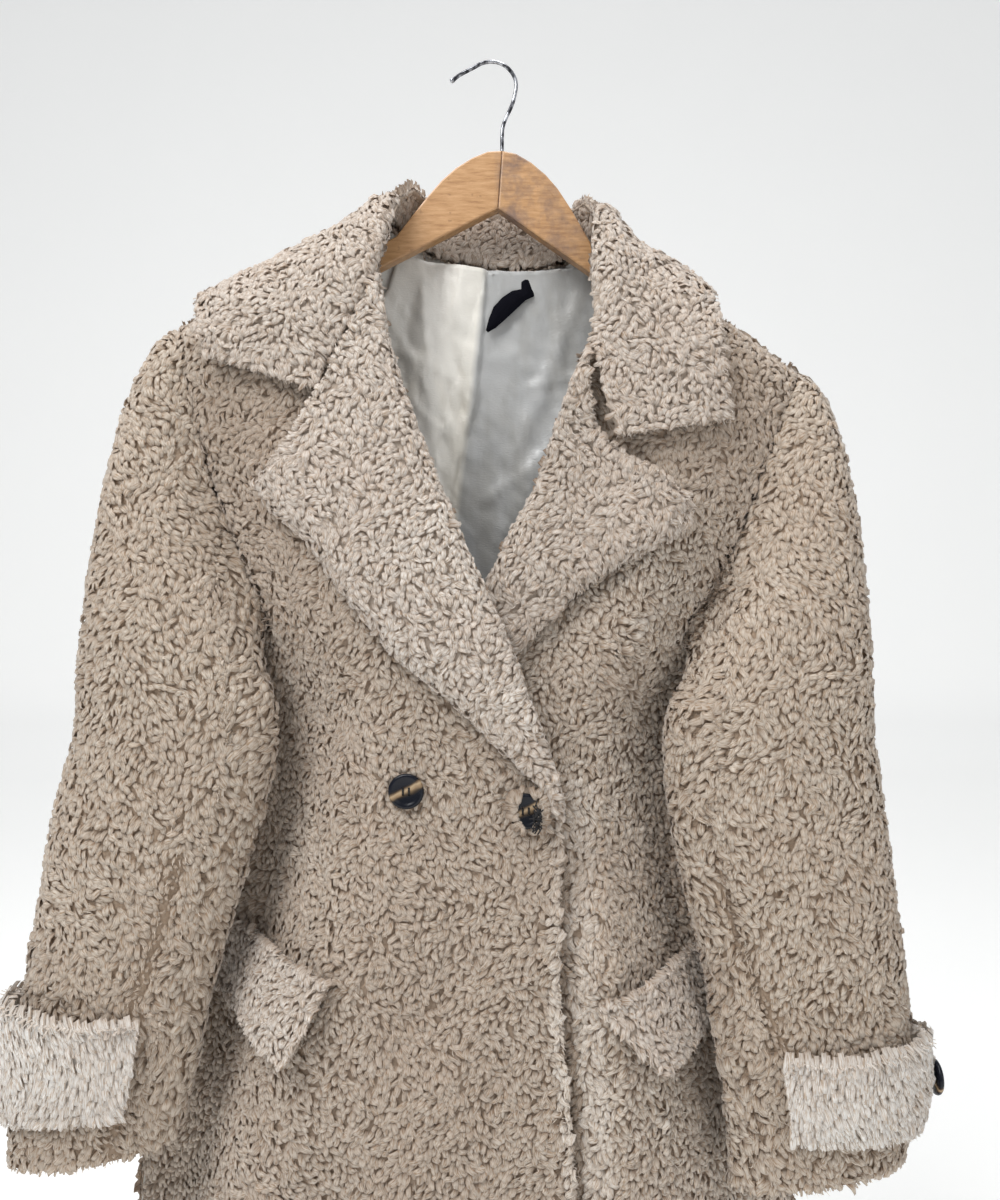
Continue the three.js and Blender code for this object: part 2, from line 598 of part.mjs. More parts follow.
// The back: both halves in one grid, from side seam to side seam
function backPanel() {
  const columns = [
    ...BACK_HALF_COLUMNS.slice(1).reverse().map((t) => ({ side: -1, t })),
    ...BACK_HALF_COLUMNS.map((t) => ({ side: 1, t })),
  ];
  const rows = BACK_ROWS.map((row, r) => ({ ...row, seamIndex: (RING - r) % RING }));
  const armholes = { '-1': armholeSeam(-1, frontY), 1: armholeSeam(1, leftFrontY) };
  const start = BACK_ROWS[BACK_TO_UNDERARM];
  for (let i = 1; i <= SKIRT_ROWS; i++) {
    const z = lerp(start.z, HEM_Z, i / SKIRT_ROWS);
    rows.push({ x: bodyAt(z).half, z });
  }
  const outer = [];
  const inner = [];
  const neckShare = NECK_HALF / BACK_ROWS[0].x;
  rows.forEach((row, r) => {
    const outerRow = [];
    const innerRow = [];
    const settled = Math.min(1, r / BACK_TO_UNDERARM);
    columns.forEach(({ side, t }) => {
      const x = side * row.x * t;
      const seamZ = t > neckShare ? shoulderZ(BACK_ROWS[0].x * t) : neckZ(BACK_ROWS[0].x * t);
      const drop = BACK_ROWS[0].z - row.z;
      const z = lerp(seamZ - drop * BACK_ROWS_SINK, row.z, settled ** BACK_ROWS_SETTLE);
      const point = new THREE.Vector3(x, backY(x, z), z);
      let back = outward(backY, x, z, 1).multiplyScalar(-WALL);
      const atSide = t === 1;
      if (r === 0 && t > neckShare) back = new THREE.Vector3(0, 0, -WALL);
      if (atSide && row.seamIndex === undefined) back = new THREE.Vector3(-side * WALL, 0, 0);
      if (atSide && row.seamIndex !== undefined) {
        const seam = armholes[side][row.seamIndex];
        back = seam.inward;
        point.copy(seam.point).sub(seam.toSleeve);
      }
      outerRow.push(point);
      innerRow.push(point.clone().add(back));
    });
    outer.push(outerRow);
    inner.push(innerRow);
  });
  pullSeams(outer, inner, 1, BACK_TO_UNDERARM);
  return wallGeometry(outer.map((row) => row.map(hang)), inner.map((row) => row.map(hang)));
}

function neckZ(x) {
  const side = shoulderZ(NECK_HALF);
  return lerp(NECK_BACK_Z, side, (Math.abs(x) / NECK_HALF) ** 2);
}

// A lapel lies on its front, from its roll edge to its outer edge
function lapelPanel(side, depth, table, thinTo, lift) {
  const outer = [];
  const inner = [];
  table.forEach((row, r) => {
    const last = table.length - 1;
    const thick = lerp(LAPEL_WALL, thinTo, smoothstep(r, last - 4, last - 1));
    const outerRow = [];
    const innerRow = [];
    LAPEL_COLUMNS.forEach((t) => {
      const hug = row.hug ?? 1;
      const x = side * lerp(row.rollX, row.edgeX, t ** hug);
      const z = lerp(row.rollZ, row.edgeZ, t ** (1 + HUG_DROP * (hug - 1)));
      const base = new THREE.Vector3(x, depth(x, z), z);
      const up = outward(depth, x, z, -1);
      const round = t === 0 || t === 1 ? 0.7 : 1;
      const puff = LAPEL_PUFF * Math.sin(Math.PI * t) * (1 - smoothstep(r, last - 4, last - 1));
      innerRow.push(base.clone().addScaledVector(up, lift));
      outerRow.push(base.clone().addScaledVector(up, lift + round * thick + puff));
    });
    outer.push(outerRow);
    inner.push(innerRow);
  });
  pullIn(outer, inner, 'top', GORGE_GAP);
  return wallGeometry(outer.map((row) => row.map(hang)), inner.map((row) => row.map(hang)));
}

// A point off the shoulders' cloth: across runs over the ridge from front to back
function onShoulder(x, across, lift) {
  const away = Math.abs(across);
  const turned = Math.min(1, away / ROUNDING_LENGTH);
  const angle = (turned * Math.PI) / 2;
  const facing = across < 0 ? -1 : 1;
  let z = shoulderZ(x) - ROUNDING * (1 - Math.cos(angle));
  if (away > ROUNDING_LENGTH) z -= away - ROUNDING_LENGTH;
  const row = bodyAt(z);
  const full = 1 - smoothstep(Math.abs(x), row.flatTo, row.fallTo);
  const rim = row.side - RIM_DEPTH;
  const deep = facing < 0 ? -(rim + (row.front - rim) * full) : backDepth(x, row);
  const y = facing * deep * Math.sin(angle);
  const slope = SHOULDER_SLOPE * Math.cos(angle) * Math.sign(x || 1);
  const normal = new THREE.Vector3(slope, facing * Math.sin(angle), Math.cos(angle)).normalize();
  return new THREE.Vector3(x, y, z).addScaledVector(normal, lift);
}

function backDepth(x, row) {
  const rim = row.side + RIM_DEPTH;
  return rim + (row.back - rim) * (1 - smoothstep(Math.abs(x), 50, row.half - SIDE_CAP));
}

function collarStations() {
  const right = RIGHT_COLLAR.map((row) => ({ ...row, side: -1 }));
  const left = LEFT_COLLAR.map((row) => ({ ...row, side: 1 }));
  return [...right, { ...CENTRE_COLLAR, side: 1 }, ...left.reverse()];
}

function collarPoint(row, t, under) {
  const x = row.side * lerp(row.crestX, row.edgeX, t);
  const across = lerp(row.crestAcross, row.edgeAcross, t);
  const onRidge = 1 - smoothstep(Math.abs(across), 60, 110);
  const rest = LIFT + RIDGE_LIFT * onRidge + COLLAR_WALL;
  const off = (t - PUFF_AT) / PUFF_WIDTH;
  const lift = rest + (row.lift - rest) * (1 - t) ** 3 + row.puff * Math.exp(-off * off);
  return onShoulder(x, across, lift - under);
}

// The inside of the crest, where stand and fall part
function crestInside(row, standLow) {
  const crest = collarPoint(row, 0, 0);
  const middle = collarPoint(row, 0.3, 0).add(standLow).multiplyScalar(0.5);
  return crest.clone().add(middle.sub(crest).setLength(CREST_WALL));
}

function standLows() {
  const point = (row, side) => new THREE.Vector3(side * row.x, row.y, row.z);
  const right = STAND.map((row) => point(row, -1));
  const left = STAND.map((row) => point(row, 1));
  return [...right, point(STAND_CENTRE, 1), ...left.reverse()];
}

// The collar's fall: from the crest down over shoulders and back
function collarFall() {
  const outer = [];
  const inner = [];
  const lows = standLows();
  collarStations().forEach((row, s) => {
    const low = lows[s - STAND_FROM_STATION];
    const outerRow = [];
    const innerRow = [];
    COLLAR_COLUMNS.forEach((t) => {
      const thick = low ? lerp(CREST_WALL, COLLAR_WALL, smoothstep(t, 0, CREST_ENDS)) : COLLAR_WALL;
      outerRow.push(collarPoint(row, t, 0));
      innerRow.push(t === 0 && low ? crestInside(row, low) : collarPoint(row, t, thick));
    });
    outer.push(outerRow);
    inner.push(innerRow);
  });
  pullIn(outer, inner, 'first', CREST_GAP);
  return wallGeometry(outer.map((row) => row.map(hang)), inner.map((row) => row.map(hang)));
}

// The collar's stand: the band inside the neck, from the neck seam up to the crest
function collarStand() {
  const outer = [];
  const inner = [];
  const stations = collarStations();
  standLows().forEach((low, i) => {
    const row = stations[i + STAND_FROM_STATION];
    const crest = collarPoint(row, 0, 0);
    const crestBack = crestInside(row, low);
    const turned = low.y * STAND_TURN.times + STAND_TURN.shift;
    const away = new THREE.Vector3(low.x, turned, 0).setLength(STAND_WALL);
    const outerRow = [];
    const innerRow = [];
    for (let k = 0; k <= STAND_STEPS; k++) {
      const t = k / STAND_STEPS;
      const face = low.clone().lerp(crest, t);
      const thickness = away.clone().lerp(crestBack.clone().sub(crest), t);
      outerRow.push(face);
      innerRow.push(face.clone().add(thickness.setLength(lerp(STAND_WALL, CREST_WALL, t))));
    }
    outer.push(outerRow);
    inner.push(innerRow);
  });
  pullIn(outer, inner, 'last', CREST_GAP);
  return wallGeometry(outer.map((row) => row.map(hang)), inner.map((row) => row.map(hang)));
}

// The angle of a sleeve's ring point: 0 at the outer side, 90 in front, 180 at the inner side
function ringAngle(k) {
  if (k <= MEDIAL_INDEX) return degToRad((180 * k) / MEDIAL_INDEX);
  const low = (k - MEDIAL_INDEX) / (FRONT_TO_UNDERARM - MEDIAL_INDEX);
  if (k <= FRONT_TO_UNDERARM) return degToRad(lerp(180, UNDERARM_DEGREES, low));
  return degToRad(lerp(UNDERARM_DEGREES, 360, (k - FRONT_TO_UNDERARM) / BACK_TO_UNDERARM));
}

function sleeveSection(table, z) {
  const section = {};
  for (const name of ['x', 'half', 'y', 'deep']) section[name] = columnAt(table, z, name, true);
  return section;
}

// A point on a sleeve below the armhole, lifted off its surface
function onSleeve(table, side, angle, z, lift) {
  const { x, half, y, deep } = sleeveSection(table, z);
  const across = side * (half + lift) * Math.cos(angle);
  return new THREE.Vector3(x + across, y - (deep + lift) * Math.sin(angle), z);
}

function armholeRing(side, frontDepth) {
  return armholeSeam(side, frontDepth).map(({ point, inward, toSleeve }) => {
    const start = point.clone().add(toSleeve);
    return { outer: hang(start), inner: hang(start.clone().add(inward)) };
  });
}

// How much of the cuff's slant a row has, by its distance from the end in rows
function cuffShare(rowsFromEnd) {
  if (rowsFromEnd === 0) return 1;
  return rowsFromEnd === 1 ? CUFF_SLANT_BEFORE_END : 0;
}

// Both surfaces of a whole sleeve, row by row from the armhole to the cuff
function sleeveGrid(side, table, frontDepth) {
  const start = armholeRing(side, frontDepth);
  const firstZ = table[0].z;
  const cuffZ = table[table.length - 1].z;
  const outer = [start.map((p) => p.outer)];
  for (const t of CAP_STEPS) {
    outer.push(start.map(({ outer: from }, k) => {
      const to = onSleeve(table, side, ringAngle(k), firstZ, 0);
      const around = (2 * Math.PI * k) / RING;
      const top = (1 + Math.cos(around)) / 2;
      const reach = from.distanceTo(to) / 3;
      const leave = new THREE.Vector3(
        side * CAP_REACH * top, -CAP_FORWARD * Math.sin(around), -reach * (1 - top),
      );
      const first = from.clone().add(leave);
      const second = to.clone().add(new THREE.Vector3(0, 0, reach));
      return new THREE.CubicBezierCurve3(from, first, second, to).getPoint(t);
    }));
  }
  const steps = Math.round((firstZ - cuffZ) / SLEEVE_ROW_HEIGHT);
  for (let i = 0; i <= steps; i++) {
    const z = lerp(firstZ, cuffZ, i / steps);
    const slant = CUFF_SLANT * cuffShare(steps - i);
    outer.push(start.map((_, k) => {
      const point = onSleeve(table, side, ringAngle(k), z, 0);
      point.z += slant * (point.x - sleeveSection(table, z).x);
      return point;
    }));
  }
  const inner = outer.map((row, r) => row.map((point, k) => {
    const off = (k - THIN_AT) / THIN_WIDTH;
    const thin = THIN_BY * Math.exp(-off * off) * (1 - smoothstep(r, 5, 9));
    if (r === 0) return start[k].inner.clone().lerp(point, thin);
    const next = outer[Math.min(r + 1, outer.length - 1)][k];
    const down = next.clone().sub(outer[r - 1][k]);
    const along = row[(k + 1) % RING].clone().sub(row[(k + RING - 1) % RING]);
    const normal = down.cross(along).multiplyScalar(side).normalize();
    return point.clone().addScaledVector(normal, WALL * (1 - thin));
  }));
  return { outer, inner };
}

// One piece of a sleeve between two of its long seams
function sleevePiece(grid, from, to) {
  const take = (rows) => rows.map((row) => {
    const part = [];
    for (let k = from; k <= to; k++) part.push(row[k % RING].clone());
    return part;
  });
  const outer = take(grid.outer);
  const inner = take(grid.inner);
  pullIn(outer, inner, 'first');
  pullIn(outer, inner, 'last');
  return wallGeometry(outer, inner);
}

// A cuff strap: from its sewn end at the sleeve's front round its outer side
function strapPanel(side, table, strap) {
  const outer = [];
  const inner = [];
  for (let i = 0; i <= STRAP_STEPS; i++) {
    const t = i / STRAP_STEPS;
    const angle = degToRad(lerp(STRAP_START_DEGREES, STRAP_END_DEGREES, t));
    const slope = smoothstep(t, 0, STRAP_SLOPES_TO);
    const top = lerp(strap.sewnTop, strap.sideTop, slope);
    const bottom = lerp(strap.sewnBottom, strap.sideBottom, slope);
    const outerRow = [];
    const innerRow = [];
    for (let j = 0; j <= STRAP_ROWS; j++) {
      const down = j / STRAP_ROWS;
      const z = lerp(top, bottom, down);
      const flare = STRAP_FLARE * (1 - down) * smoothstep(t, 0, STRAP_FLARES_FROM);
      const edge = j === 0 || j === STRAP_ROWS ? 0.75 : 1;
      innerRow.push(onSleeve(table, side, angle, z, strap.lift + flare));
      outerRow.push(onSleeve(table, side, angle, z, strap.lift + flare + STRAP_WALL * edge));
    }
    outer.push(outerRow);
    inner.push(innerRow);
  }
  return wallGeometry(outer, inner);
}

// A pocket flap: held along its top edge, its lower edge standing off the front
function flapPanel(side, depth, flap) {
  const outer = [];
  const inner = [];
  for (let i = 0; i <= FLAP_ROWS; i++) {
    const down = i / FLAP_ROWS;
    const outerRow = [];
    const innerRow = [];
    for (let j = 0; j <= FLAP_STEPS; j++) {
      const t = j / FLAP_STEPS;
      const topX = lerp(flap.topIn[0], flap.topOut[0], t);
      const topZ = lerp(flap.topIn[1], flap.topOut[1], t);
      const lowX = lerp(flap.lowIn[0], flap.lowOut[0], t);
      const lowZ = lerp(flap.lowIn[1], flap.lowOut[1], t);
      const x = side * lerp(topX, lowX, down);
      const z = lerp(topZ, lowZ, down);
      const base = new THREE.Vector3(x, depth(x, z), z);
      const up = outward(depth, x, z, -1);
      const off = flap.lift + FLAP_STAND_OFF * down * (1 - 0.7 * t);
      const edge = i === FLAP_ROWS || j === 0 ? 0.8 : 1;
      innerRow.push(base.clone().addScaledVector(up, off));
      outerRow.push(base.clone().addScaledVector(up, off + FLAP_WALL * edge));
    }
    outer.push(outerRow);
    inner.push(innerRow);
  }
  return wallGeometry(outer.map((row) => row.map(hang)), inner.map((row) => row.map(hang)));
}

// The lining on the inside of the back, with the centre pleat raised
function pleatAt(x, z) {
  const lean = PLEAT.leanPerMm * (z - NECK_BACK_Z);
  const left = smoothstep(x, PLEAT.left + lean - 5, PLEAT.left + lean);
  const right = 1 - smoothstep(x, PLEAT.right + lean, PLEAT.right + lean + 3);
  const stays = 1 - smoothstep(-z, -PLEAT.ends - 120, -PLEAT.ends);
  return PLEAT.height * left * right * stays;
}

function liningPoint(x, z, off) {
  const point = new THREE.Vector3(x, backY(x, z), z);
  return point.addScaledVector(outward(backY, x, z, 1), -(WALL + LINING_LIFT + off));
}

function liningPanel() {
  const outer = [];
  const inner = [];
  for (let r = 0; r <= LINING_ROWS; r++) {
    const t = r / LINING_ROWS;
    const outerRow = [];
    const innerRow = [];
    for (const column of LINING_COLUMNS) {
      const half = lerp(LINING_TOP_HALF, LINING_HALF, smoothstep(t, 0, 0.4));
      const lean = PLEAT.leanPerMm * (LINING_BOTTOM - NECK_BACK_Z) * t;
      const stays = (1 - Math.abs(column)) * (1 - smoothstep(t, 0.4, 0.6));
      const x = column * half + lean * stays;
      const z = lerp(neckZ(x) - LINING_TOP_DROP, LINING_BOTTOM, t);
      outerRow.push(liningPoint(x, z, LINING_WALL + pleatAt(x, z)));
      innerRow.push(liningPoint(x, z, 0));
    }
    outer.push(outerRow);
    inner.push(innerRow);
  }
  return wallGeometry(outer.map((row) => row.map(hang)), inner.map((row) => row.map(hang)));
}

// The bare label, folded loosely towards its tip
function labelPanel() {
  const outer = [];
  const inner = [];
  for (const row of LABEL) {
    const outerRow = [];
    const innerRow = [];
    for (const share of [-1, 0, 1]) {
      const x = row.x + share * row.half;
      const z = row.z + share * row.half * 0.5;
      const y = liningPoint(30, z, LINING_WALL).y - row.out - 2 * (1 - share * share);
      outerRow.push(new THREE.Vector3(x, y - LABEL_WALL, z));
      innerRow.push(new THREE.Vector3(x, y, z));
    }
    outer.push(outerRow);
    inner.push(innerRow);
  }
  return wallGeometry(outer.map((row) => row.map(hang)), inner.map((row) => row.map(hang)));
}

// A four-hole button's solid: a disc with a raised rim, facing +Y before it is turned
function buttonGeometry() {
  const profile = [
    [0, 0],
    [BUTTON_RADIUS - 2, 0],
    [BUTTON_RADIUS, 1.6],
    [BUTTON_RADIUS - 0.6, BUTTON_HEIGHT - 0.4],
    [BUTTON_RADIUS - 2.2, BUTTON_HEIGHT],
    [BUTTON_RADIUS - 4.4, BUTTON_HEIGHT - 1.2],
    [0, BUTTON_HEIGHT - 1.4],
  ];
  return new THREE.LatheGeometry(profile.map(([x, y]) => new THREE.Vector2(x, y)), 24);
}

function placeFrontButton(mesh, button) {
  const y = frontY(button.x, button.z) - button.out;
  mesh.position.copy(hang(new THREE.Vector3(button.x, y, button.z)));
  mesh.rotation.set(Math.PI, 0, degToRad(button.turn));
  return mesh;
}

function placeCuffButton(mesh, side, table, strap) {
  const z = (strap.sideTop + strap.sideBottom) / 2;
  const flare = STRAP_FLARE / 2;
  const spot = onSleeve(table, side, 0, z, strap.lift + flare + STRAP_WALL + CUFF_BUTTON_GAP);
  mesh.position.copy(spot);
  mesh.rotation.set(0, 0, (-side * Math.PI) / 2);
  return mesh;
}

// One arm of the wooden hanger, from the mitre to the shoulder
function hangerArm(side) {
  const gap = side * MITRE_GAP;
  const shoulder = (x) => shoulderZ(x) - HANGER_APEX.z - HANGER_TOP_DROP;
  const shape = new THREE.Shape();
  shape.moveTo(gap, HANGER_LOW_CENTRE);
  HANGER_TOP.forEach(({ x, z }) => shape.lineTo(side * x + gap, z));
  const tip = HANGER_REACH - HANGER_TIP;
  const cut = 0.75 * HANGER_TIP;
  shape.lineTo(side * HANGER_STRAIGHT_FROM, shoulder(HANGER_STRAIGHT_FROM));
  shape.lineTo(side * tip, shoulder(tip));
  shape.lineTo(side * HANGER_REACH, shoulder(HANGER_REACH) - cut);
  shape.lineTo(side * HANGER_REACH, shoulder(HANGER_REACH) - HANGER_ARM_HEIGHT + cut);
  shape.lineTo(side * tip, shoulder(tip) - HANGER_ARM_HEIGHT);
  shape.lineTo(side * HANGER_ELBOW, HANGER_LOW_CENTRE - SHOULDER_SLOPE * HANGER_ELBOW);
  shape.closePath();
  const flat = HANGER_THICK - 2 * HANGER_BEVEL;
  const geometry = new THREE.ExtrudeGeometry(shape, {
    depth: flat, steps: 1, bevelEnabled: true, bevelSegments: 2,
    bevelThickness: HANGER_BEVEL, bevelSize: HANGER_BEVEL, bevelOffset: -HANGER_BEVEL,
  });
  geometry.translate(0, 0, -flat / 2);
  geometry.rotateX(Math.PI / 2);
  return geometry;
}

// The wire hook: a curled tip, the round over the rest point, and the stem
function hookGeometry() {
  const centre = { x: 0, z: WIRE_RADIUS - HOOK_RADIUS };
  const points = [...HOOK_TIP];
  for (let degrees = HOOK_ROUND.from; degrees >= HOOK_ROUND.to; degrees -= HOOK_ROUND.step) {
    const angle = degToRad(degrees);
    points.push([centre.x + HOOK_RADIUS * Math.cos(angle), centre.z + HOOK_RADIUS * Math.sin(angle)]);
  }
  points.push(...HOOK_STEM, [HANGER_APEX.x, HANGER_APEX.z + HOOK_ABOVE_WOOD]);
  const path = new THREE.CatmullRomCurve3(points.map(([x, z]) => new THREE.Vector3(x, 0, z)));
  const section = new THREE.Shape();
  for (let i = 0; i < WIRE_SIDES; i++) {
    const angle = (2 * Math.PI * i) / WIRE_SIDES;
    const [x, y] = [WIRE_RADIUS * Math.cos(angle), WIRE_RADIUS * Math.sin(angle)];
    if (i === 0) section.moveTo(x, y);
    else section.lineTo(x, y);
  }
  section.closePath();
  return new THREE.ExtrudeGeometry(section, { steps: HOOK_SEGMENTS, extrudePath: path });
}

const FUR_BODY = { color: 0xbfa98f, roughness: 0.95, metalness: 0 };
const FUR_SLEEVE = { color: 0xc8b396, roughness: 0.95, metalness: 0 };
const FUR_COLLAR = { color: 0xd4c4b2, roughness: 0.95, metalness: 0 };
const FUR_STRAP = { color: 0xd6cbb9, roughness: 0.95, metalness: 0 };
const SATIN = { color: 0xe0ddd2, roughness: 0.4, metalness: 0 };
const LABEL_BLACK = { color: 0x15151a, roughness: 0.6, metalness: 0 };
const HORN = { color: 0x1d2028, roughness: 0.3, metalness: 0 };
const WOOD = { color: 0xc08a4c, roughness: 0.5, metalness: 0 };
const CHROME = { color: 0xc9ccd0, roughness: 0.15, metalness: 1 };

const coat = new THREE.Group();

function add(name, geometry, look, parent = coat) {
  const mesh = new THREE.Mesh(geometry, new THREE.MeshStandardMaterial(look));
  mesh.name = name;
  parent.add(mesh);
  return mesh;
}

add('back', backPanel(), FUR_BODY);
add('right_front', frontPanel(-1, frontY, RIGHT_LAPEL, RIGHT_EDGE), FUR_BODY);
add('left_front', frontPanel(1, leftFrontY, LEFT_LAPEL, LEFT_EDGE), FUR_BODY);
add(
  'right_lapel',
  lapelPanel(-1, frontY, RIGHT_LAPEL, LAPEL_WALL - 3, RIGHT_LAPEL_LIFT),
  FUR_COLLAR,
);
add(
  'left_lapel',
  lapelPanel(1, leftFrontY, LEFT_LAPEL, LAPEL_WALL - 5, LEFT_LAPEL_LIFT),
  FUR_COLLAR,
);
add('collar_fall', collarFall(), FUR_COLLAR);
add('collar_stand', collarStand(), FUR_COLLAR);

const sleeves = [
  { name: 'right', side: -1, table: RIGHT_SLEEVE, depth: frontY, strap: RIGHT_STRAP },
  { name: 'left', side: 1, table: LEFT_SLEEVE, depth: leftFrontY, strap: LEFT_STRAP },
];
for (const { name, side, table, depth, strap } of sleeves) {
  const grid = sleeveGrid(side, table, depth);
  add(`${name}_sleeve_under`, sleevePiece(grid, FRONT_SEAM_INDEX, BACK_SEAM_INDEX), FUR_SLEEVE);
  add(`${name}_sleeve_top`, sleevePiece(grid, BACK_SEAM_INDEX, RING + FRONT_SEAM_INDEX), FUR_SLEEVE);
  add(`${name}_cuff_strap`, strapPanel(side, table, strap), FUR_STRAP);
  placeCuffButton(add(`${name}_cuff_button`, buttonGeometry(), HORN), side, table, strap);
}

add('right_pocket_flap', flapPanel(-1, frontY, RIGHT_FLAP), FUR_BODY);
add('left_pocket_flap', flapPanel(1, leftFrontY, LEFT_FLAP), FUR_BODY);
placeFrontButton(add('button_top', buttonGeometry(), HORN), BUTTON_TOP);
placeFrontButton(add('button_waist', buttonGeometry(), HORN), BUTTON_WAIST);
add('lining_back', liningPanel(), SATIN);
add('neck_label', labelPanel(), LABEL_BLACK);

const hanger = new THREE.Group();
hanger.position.set(HANGER_APEX.x, 0, HANGER_APEX.z);
hanger.rotation.y = TILT;
coat.add(hanger);
add('hanger_right_arm', hangerArm(-1), WOOD, hanger);
add('hanger_left_arm', hangerArm(1), WOOD, hanger);
add('hanger_hook', hookGeometry(), CHROME);

export default coat;
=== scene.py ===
"""The looks of a long faux fur coat on a wooden hanger. Metres, +Z up, the front faces -Y."""
import json
import math

import bmesh
import bpy
import numpy as np
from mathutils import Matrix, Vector, kdtree, noise

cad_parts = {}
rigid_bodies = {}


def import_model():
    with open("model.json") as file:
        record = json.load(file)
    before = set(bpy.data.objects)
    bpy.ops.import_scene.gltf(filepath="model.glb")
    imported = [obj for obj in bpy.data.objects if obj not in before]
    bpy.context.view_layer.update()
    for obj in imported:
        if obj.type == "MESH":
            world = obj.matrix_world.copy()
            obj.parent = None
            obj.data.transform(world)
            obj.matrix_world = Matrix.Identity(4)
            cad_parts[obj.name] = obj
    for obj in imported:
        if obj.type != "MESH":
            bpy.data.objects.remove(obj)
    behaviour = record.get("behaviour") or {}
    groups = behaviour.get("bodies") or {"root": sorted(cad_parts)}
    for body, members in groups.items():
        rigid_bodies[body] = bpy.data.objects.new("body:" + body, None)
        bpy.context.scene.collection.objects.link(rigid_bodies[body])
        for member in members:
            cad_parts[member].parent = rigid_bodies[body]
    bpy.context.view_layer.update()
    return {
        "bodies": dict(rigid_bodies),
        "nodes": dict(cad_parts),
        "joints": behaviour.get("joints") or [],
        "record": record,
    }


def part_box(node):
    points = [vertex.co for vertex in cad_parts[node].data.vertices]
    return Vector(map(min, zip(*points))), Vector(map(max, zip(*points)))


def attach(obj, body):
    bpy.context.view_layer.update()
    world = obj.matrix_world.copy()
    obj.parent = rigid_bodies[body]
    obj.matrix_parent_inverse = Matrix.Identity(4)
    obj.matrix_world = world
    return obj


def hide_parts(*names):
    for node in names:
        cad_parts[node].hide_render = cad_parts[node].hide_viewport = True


MM = 0.001
UP = np.array([0.0, 0.0, 1.0])
TINY = 1e-12

# Camera: level, in front of the coat's upper half
CAMERA_AT = (0.0085, -0.850, -0.456)
CAMERA_LENS = 30
CAMERA_SENSOR = 36
CAMERA_NEAR = 0.05

# Colours as linear RGB
TIP = {
    "body": (0.770, 0.690, 0.598),
    "sleeve": (0.780, 0.702, 0.605),
    "collar": (0.870, 0.812, 0.745),
    "strap": (1.000, 0.985, 0.950),
}
# Colours at the roots and in the ground between locks: the shade seen in the gaps between locks,
# painted on
ROOT_PAINTED_SHADE = {
    "body": (0.200, 0.128, 0.075),
    "sleeve": (0.225, 0.142, 0.080),
    "collar": (0.300, 0.228, 0.168),
    "strap": (0.520, 0.460, 0.400),
}

# Painted shade: what a lock's colour is multiplied by at its sides, darkened as shade in the crevices
# between locks, and on its ridge
PAINTED_SIDE_SHADE = (0.40, 0.29, 0.19)
RIDGE_SHADE = (1.0, 1.0, 1.0)

# Fur: depth of its ground and roots below the wall's surface, and a lock's half width and length
GROUND_DEPTH = 3.4 * MM
ROOT_DEPTH = 5.0 * MM
SURFACE_DROP = 1.4 * MM
FABRIC_THICK = 2.6 * MM
LOCK_HALF = 2.95 * MM
LOCK_LENGTH = 10.3 * MM

# Faces that meet at less than this angle belong to one side of a wall. A side this large holds both
# walls, and one this small is a rim.
CREASE_ANGLE = math.radians(48)
BOTH_WALLS_SHARE = 0.7
RIM_SHARE = 0.12

# Points are scattered this many times too often, then thinned to the packing of a loose triangle grid
SCATTER = 3.2
GRID_AREA = 0.87
THIN_TO = 0.86

# One row a piece: spacing in mm, lock size and length, curl, how dull it is, and its look. How dull a
# piece is darkens all its locks, paler where negative, and holds painted shade and light besides tone,
# such as the left lapel darker than the right
FUR_COLUMNS = ("node", "space", "size", "long", "curl", "dull", "look")
FUR = [dict(zip(FUR_COLUMNS, row)) for row in (
    ("right_front", 4.1, 0.92, 1.0, 1.0, 0.2, "body"),
    ("left_front", 4.1, 0.92, 1.0, 1.0, -0.4, "body"),
    ("back", 5.7, 1.25, 1.0, 1.0, 0.2, "body"),
    ("right_sleeve_top", 4.35, 0.97, 1.05, 0.8, 0.35, "sleeve"),
    ("right_sleeve_under", 5.0, 1.1, 1.05, 0.8, 0.35, "sleeve"),
    ("left_sleeve_top", 4.35, 0.97, 1.05, 0.8, 0.25, "sleeve"),
    ("left_sleeve_under", 5.0, 1.1, 1.05, 0.8, 0.25, "sleeve"),
    ("collar_fall", 4.0, 0.92, 1.0, 1.0, 0.55, "collar"),
    ("right_lapel", 3.9, 0.9, 1.0, 1.0, -0.35, "collar"),
    ("left_lapel", 3.9, 0.9, 1.0, 1.0, 0.75, "collar"),
    ("right_pocket_flap", 3.9, 0.9, 1.0, 0.9, 0.1, "collar"),
    ("left_pocket_flap", 3.9, 0.9, 1.0, 0.9, 0.2, "collar"),
    ("right_cuff_strap", 3.65, 0.95, 1.4, 0.2, -0.6, "strap"),
    ("left_cuff_strap", 3.65, 0.95, 1.4, 0.2, -0.4, "strap"),
    ("collar_stand", 4.1, 0.95, 1.0, 0.9, 0.7, "collar"),
)]


# Meshes and their parts

def node_arrays(node):
    """The node's welded points and its triangles."""
    mesh = node.data
    mesh.calc_loop_triangles()
    co = np.zeros(len(mesh.vertices) * 3)
    mesh.vertices.foreach_get("co", co)
    tri = np.zeros(len(mesh.loop_triangles) * 3, np.int32)
    mesh.loop_triangles.foreach_get("vertices", tri)
    keys, back = np.unique(np.round(co.reshape(-1, 3), 6), axis=0, return_inverse=True)
    tri = back.reshape(-1)[tri].reshape(-1, 3)
    whole = (tri[:, 0] != tri[:, 1]) & (tri[:, 1] != tri[:, 2]) & (tri[:, 2] != tri[:, 0])
    return keys, tri[whole]


def face_normals(points, tri):
    a, b, c = points[tri[:, 0]], points[tri[:, 1]], points[tri[:, 2]]
    n = np.cross(b - a, c - a)
    size = np.linalg.norm(n, axis=1)
    return n / np.maximum(size, TINY)[:, None], size / 2


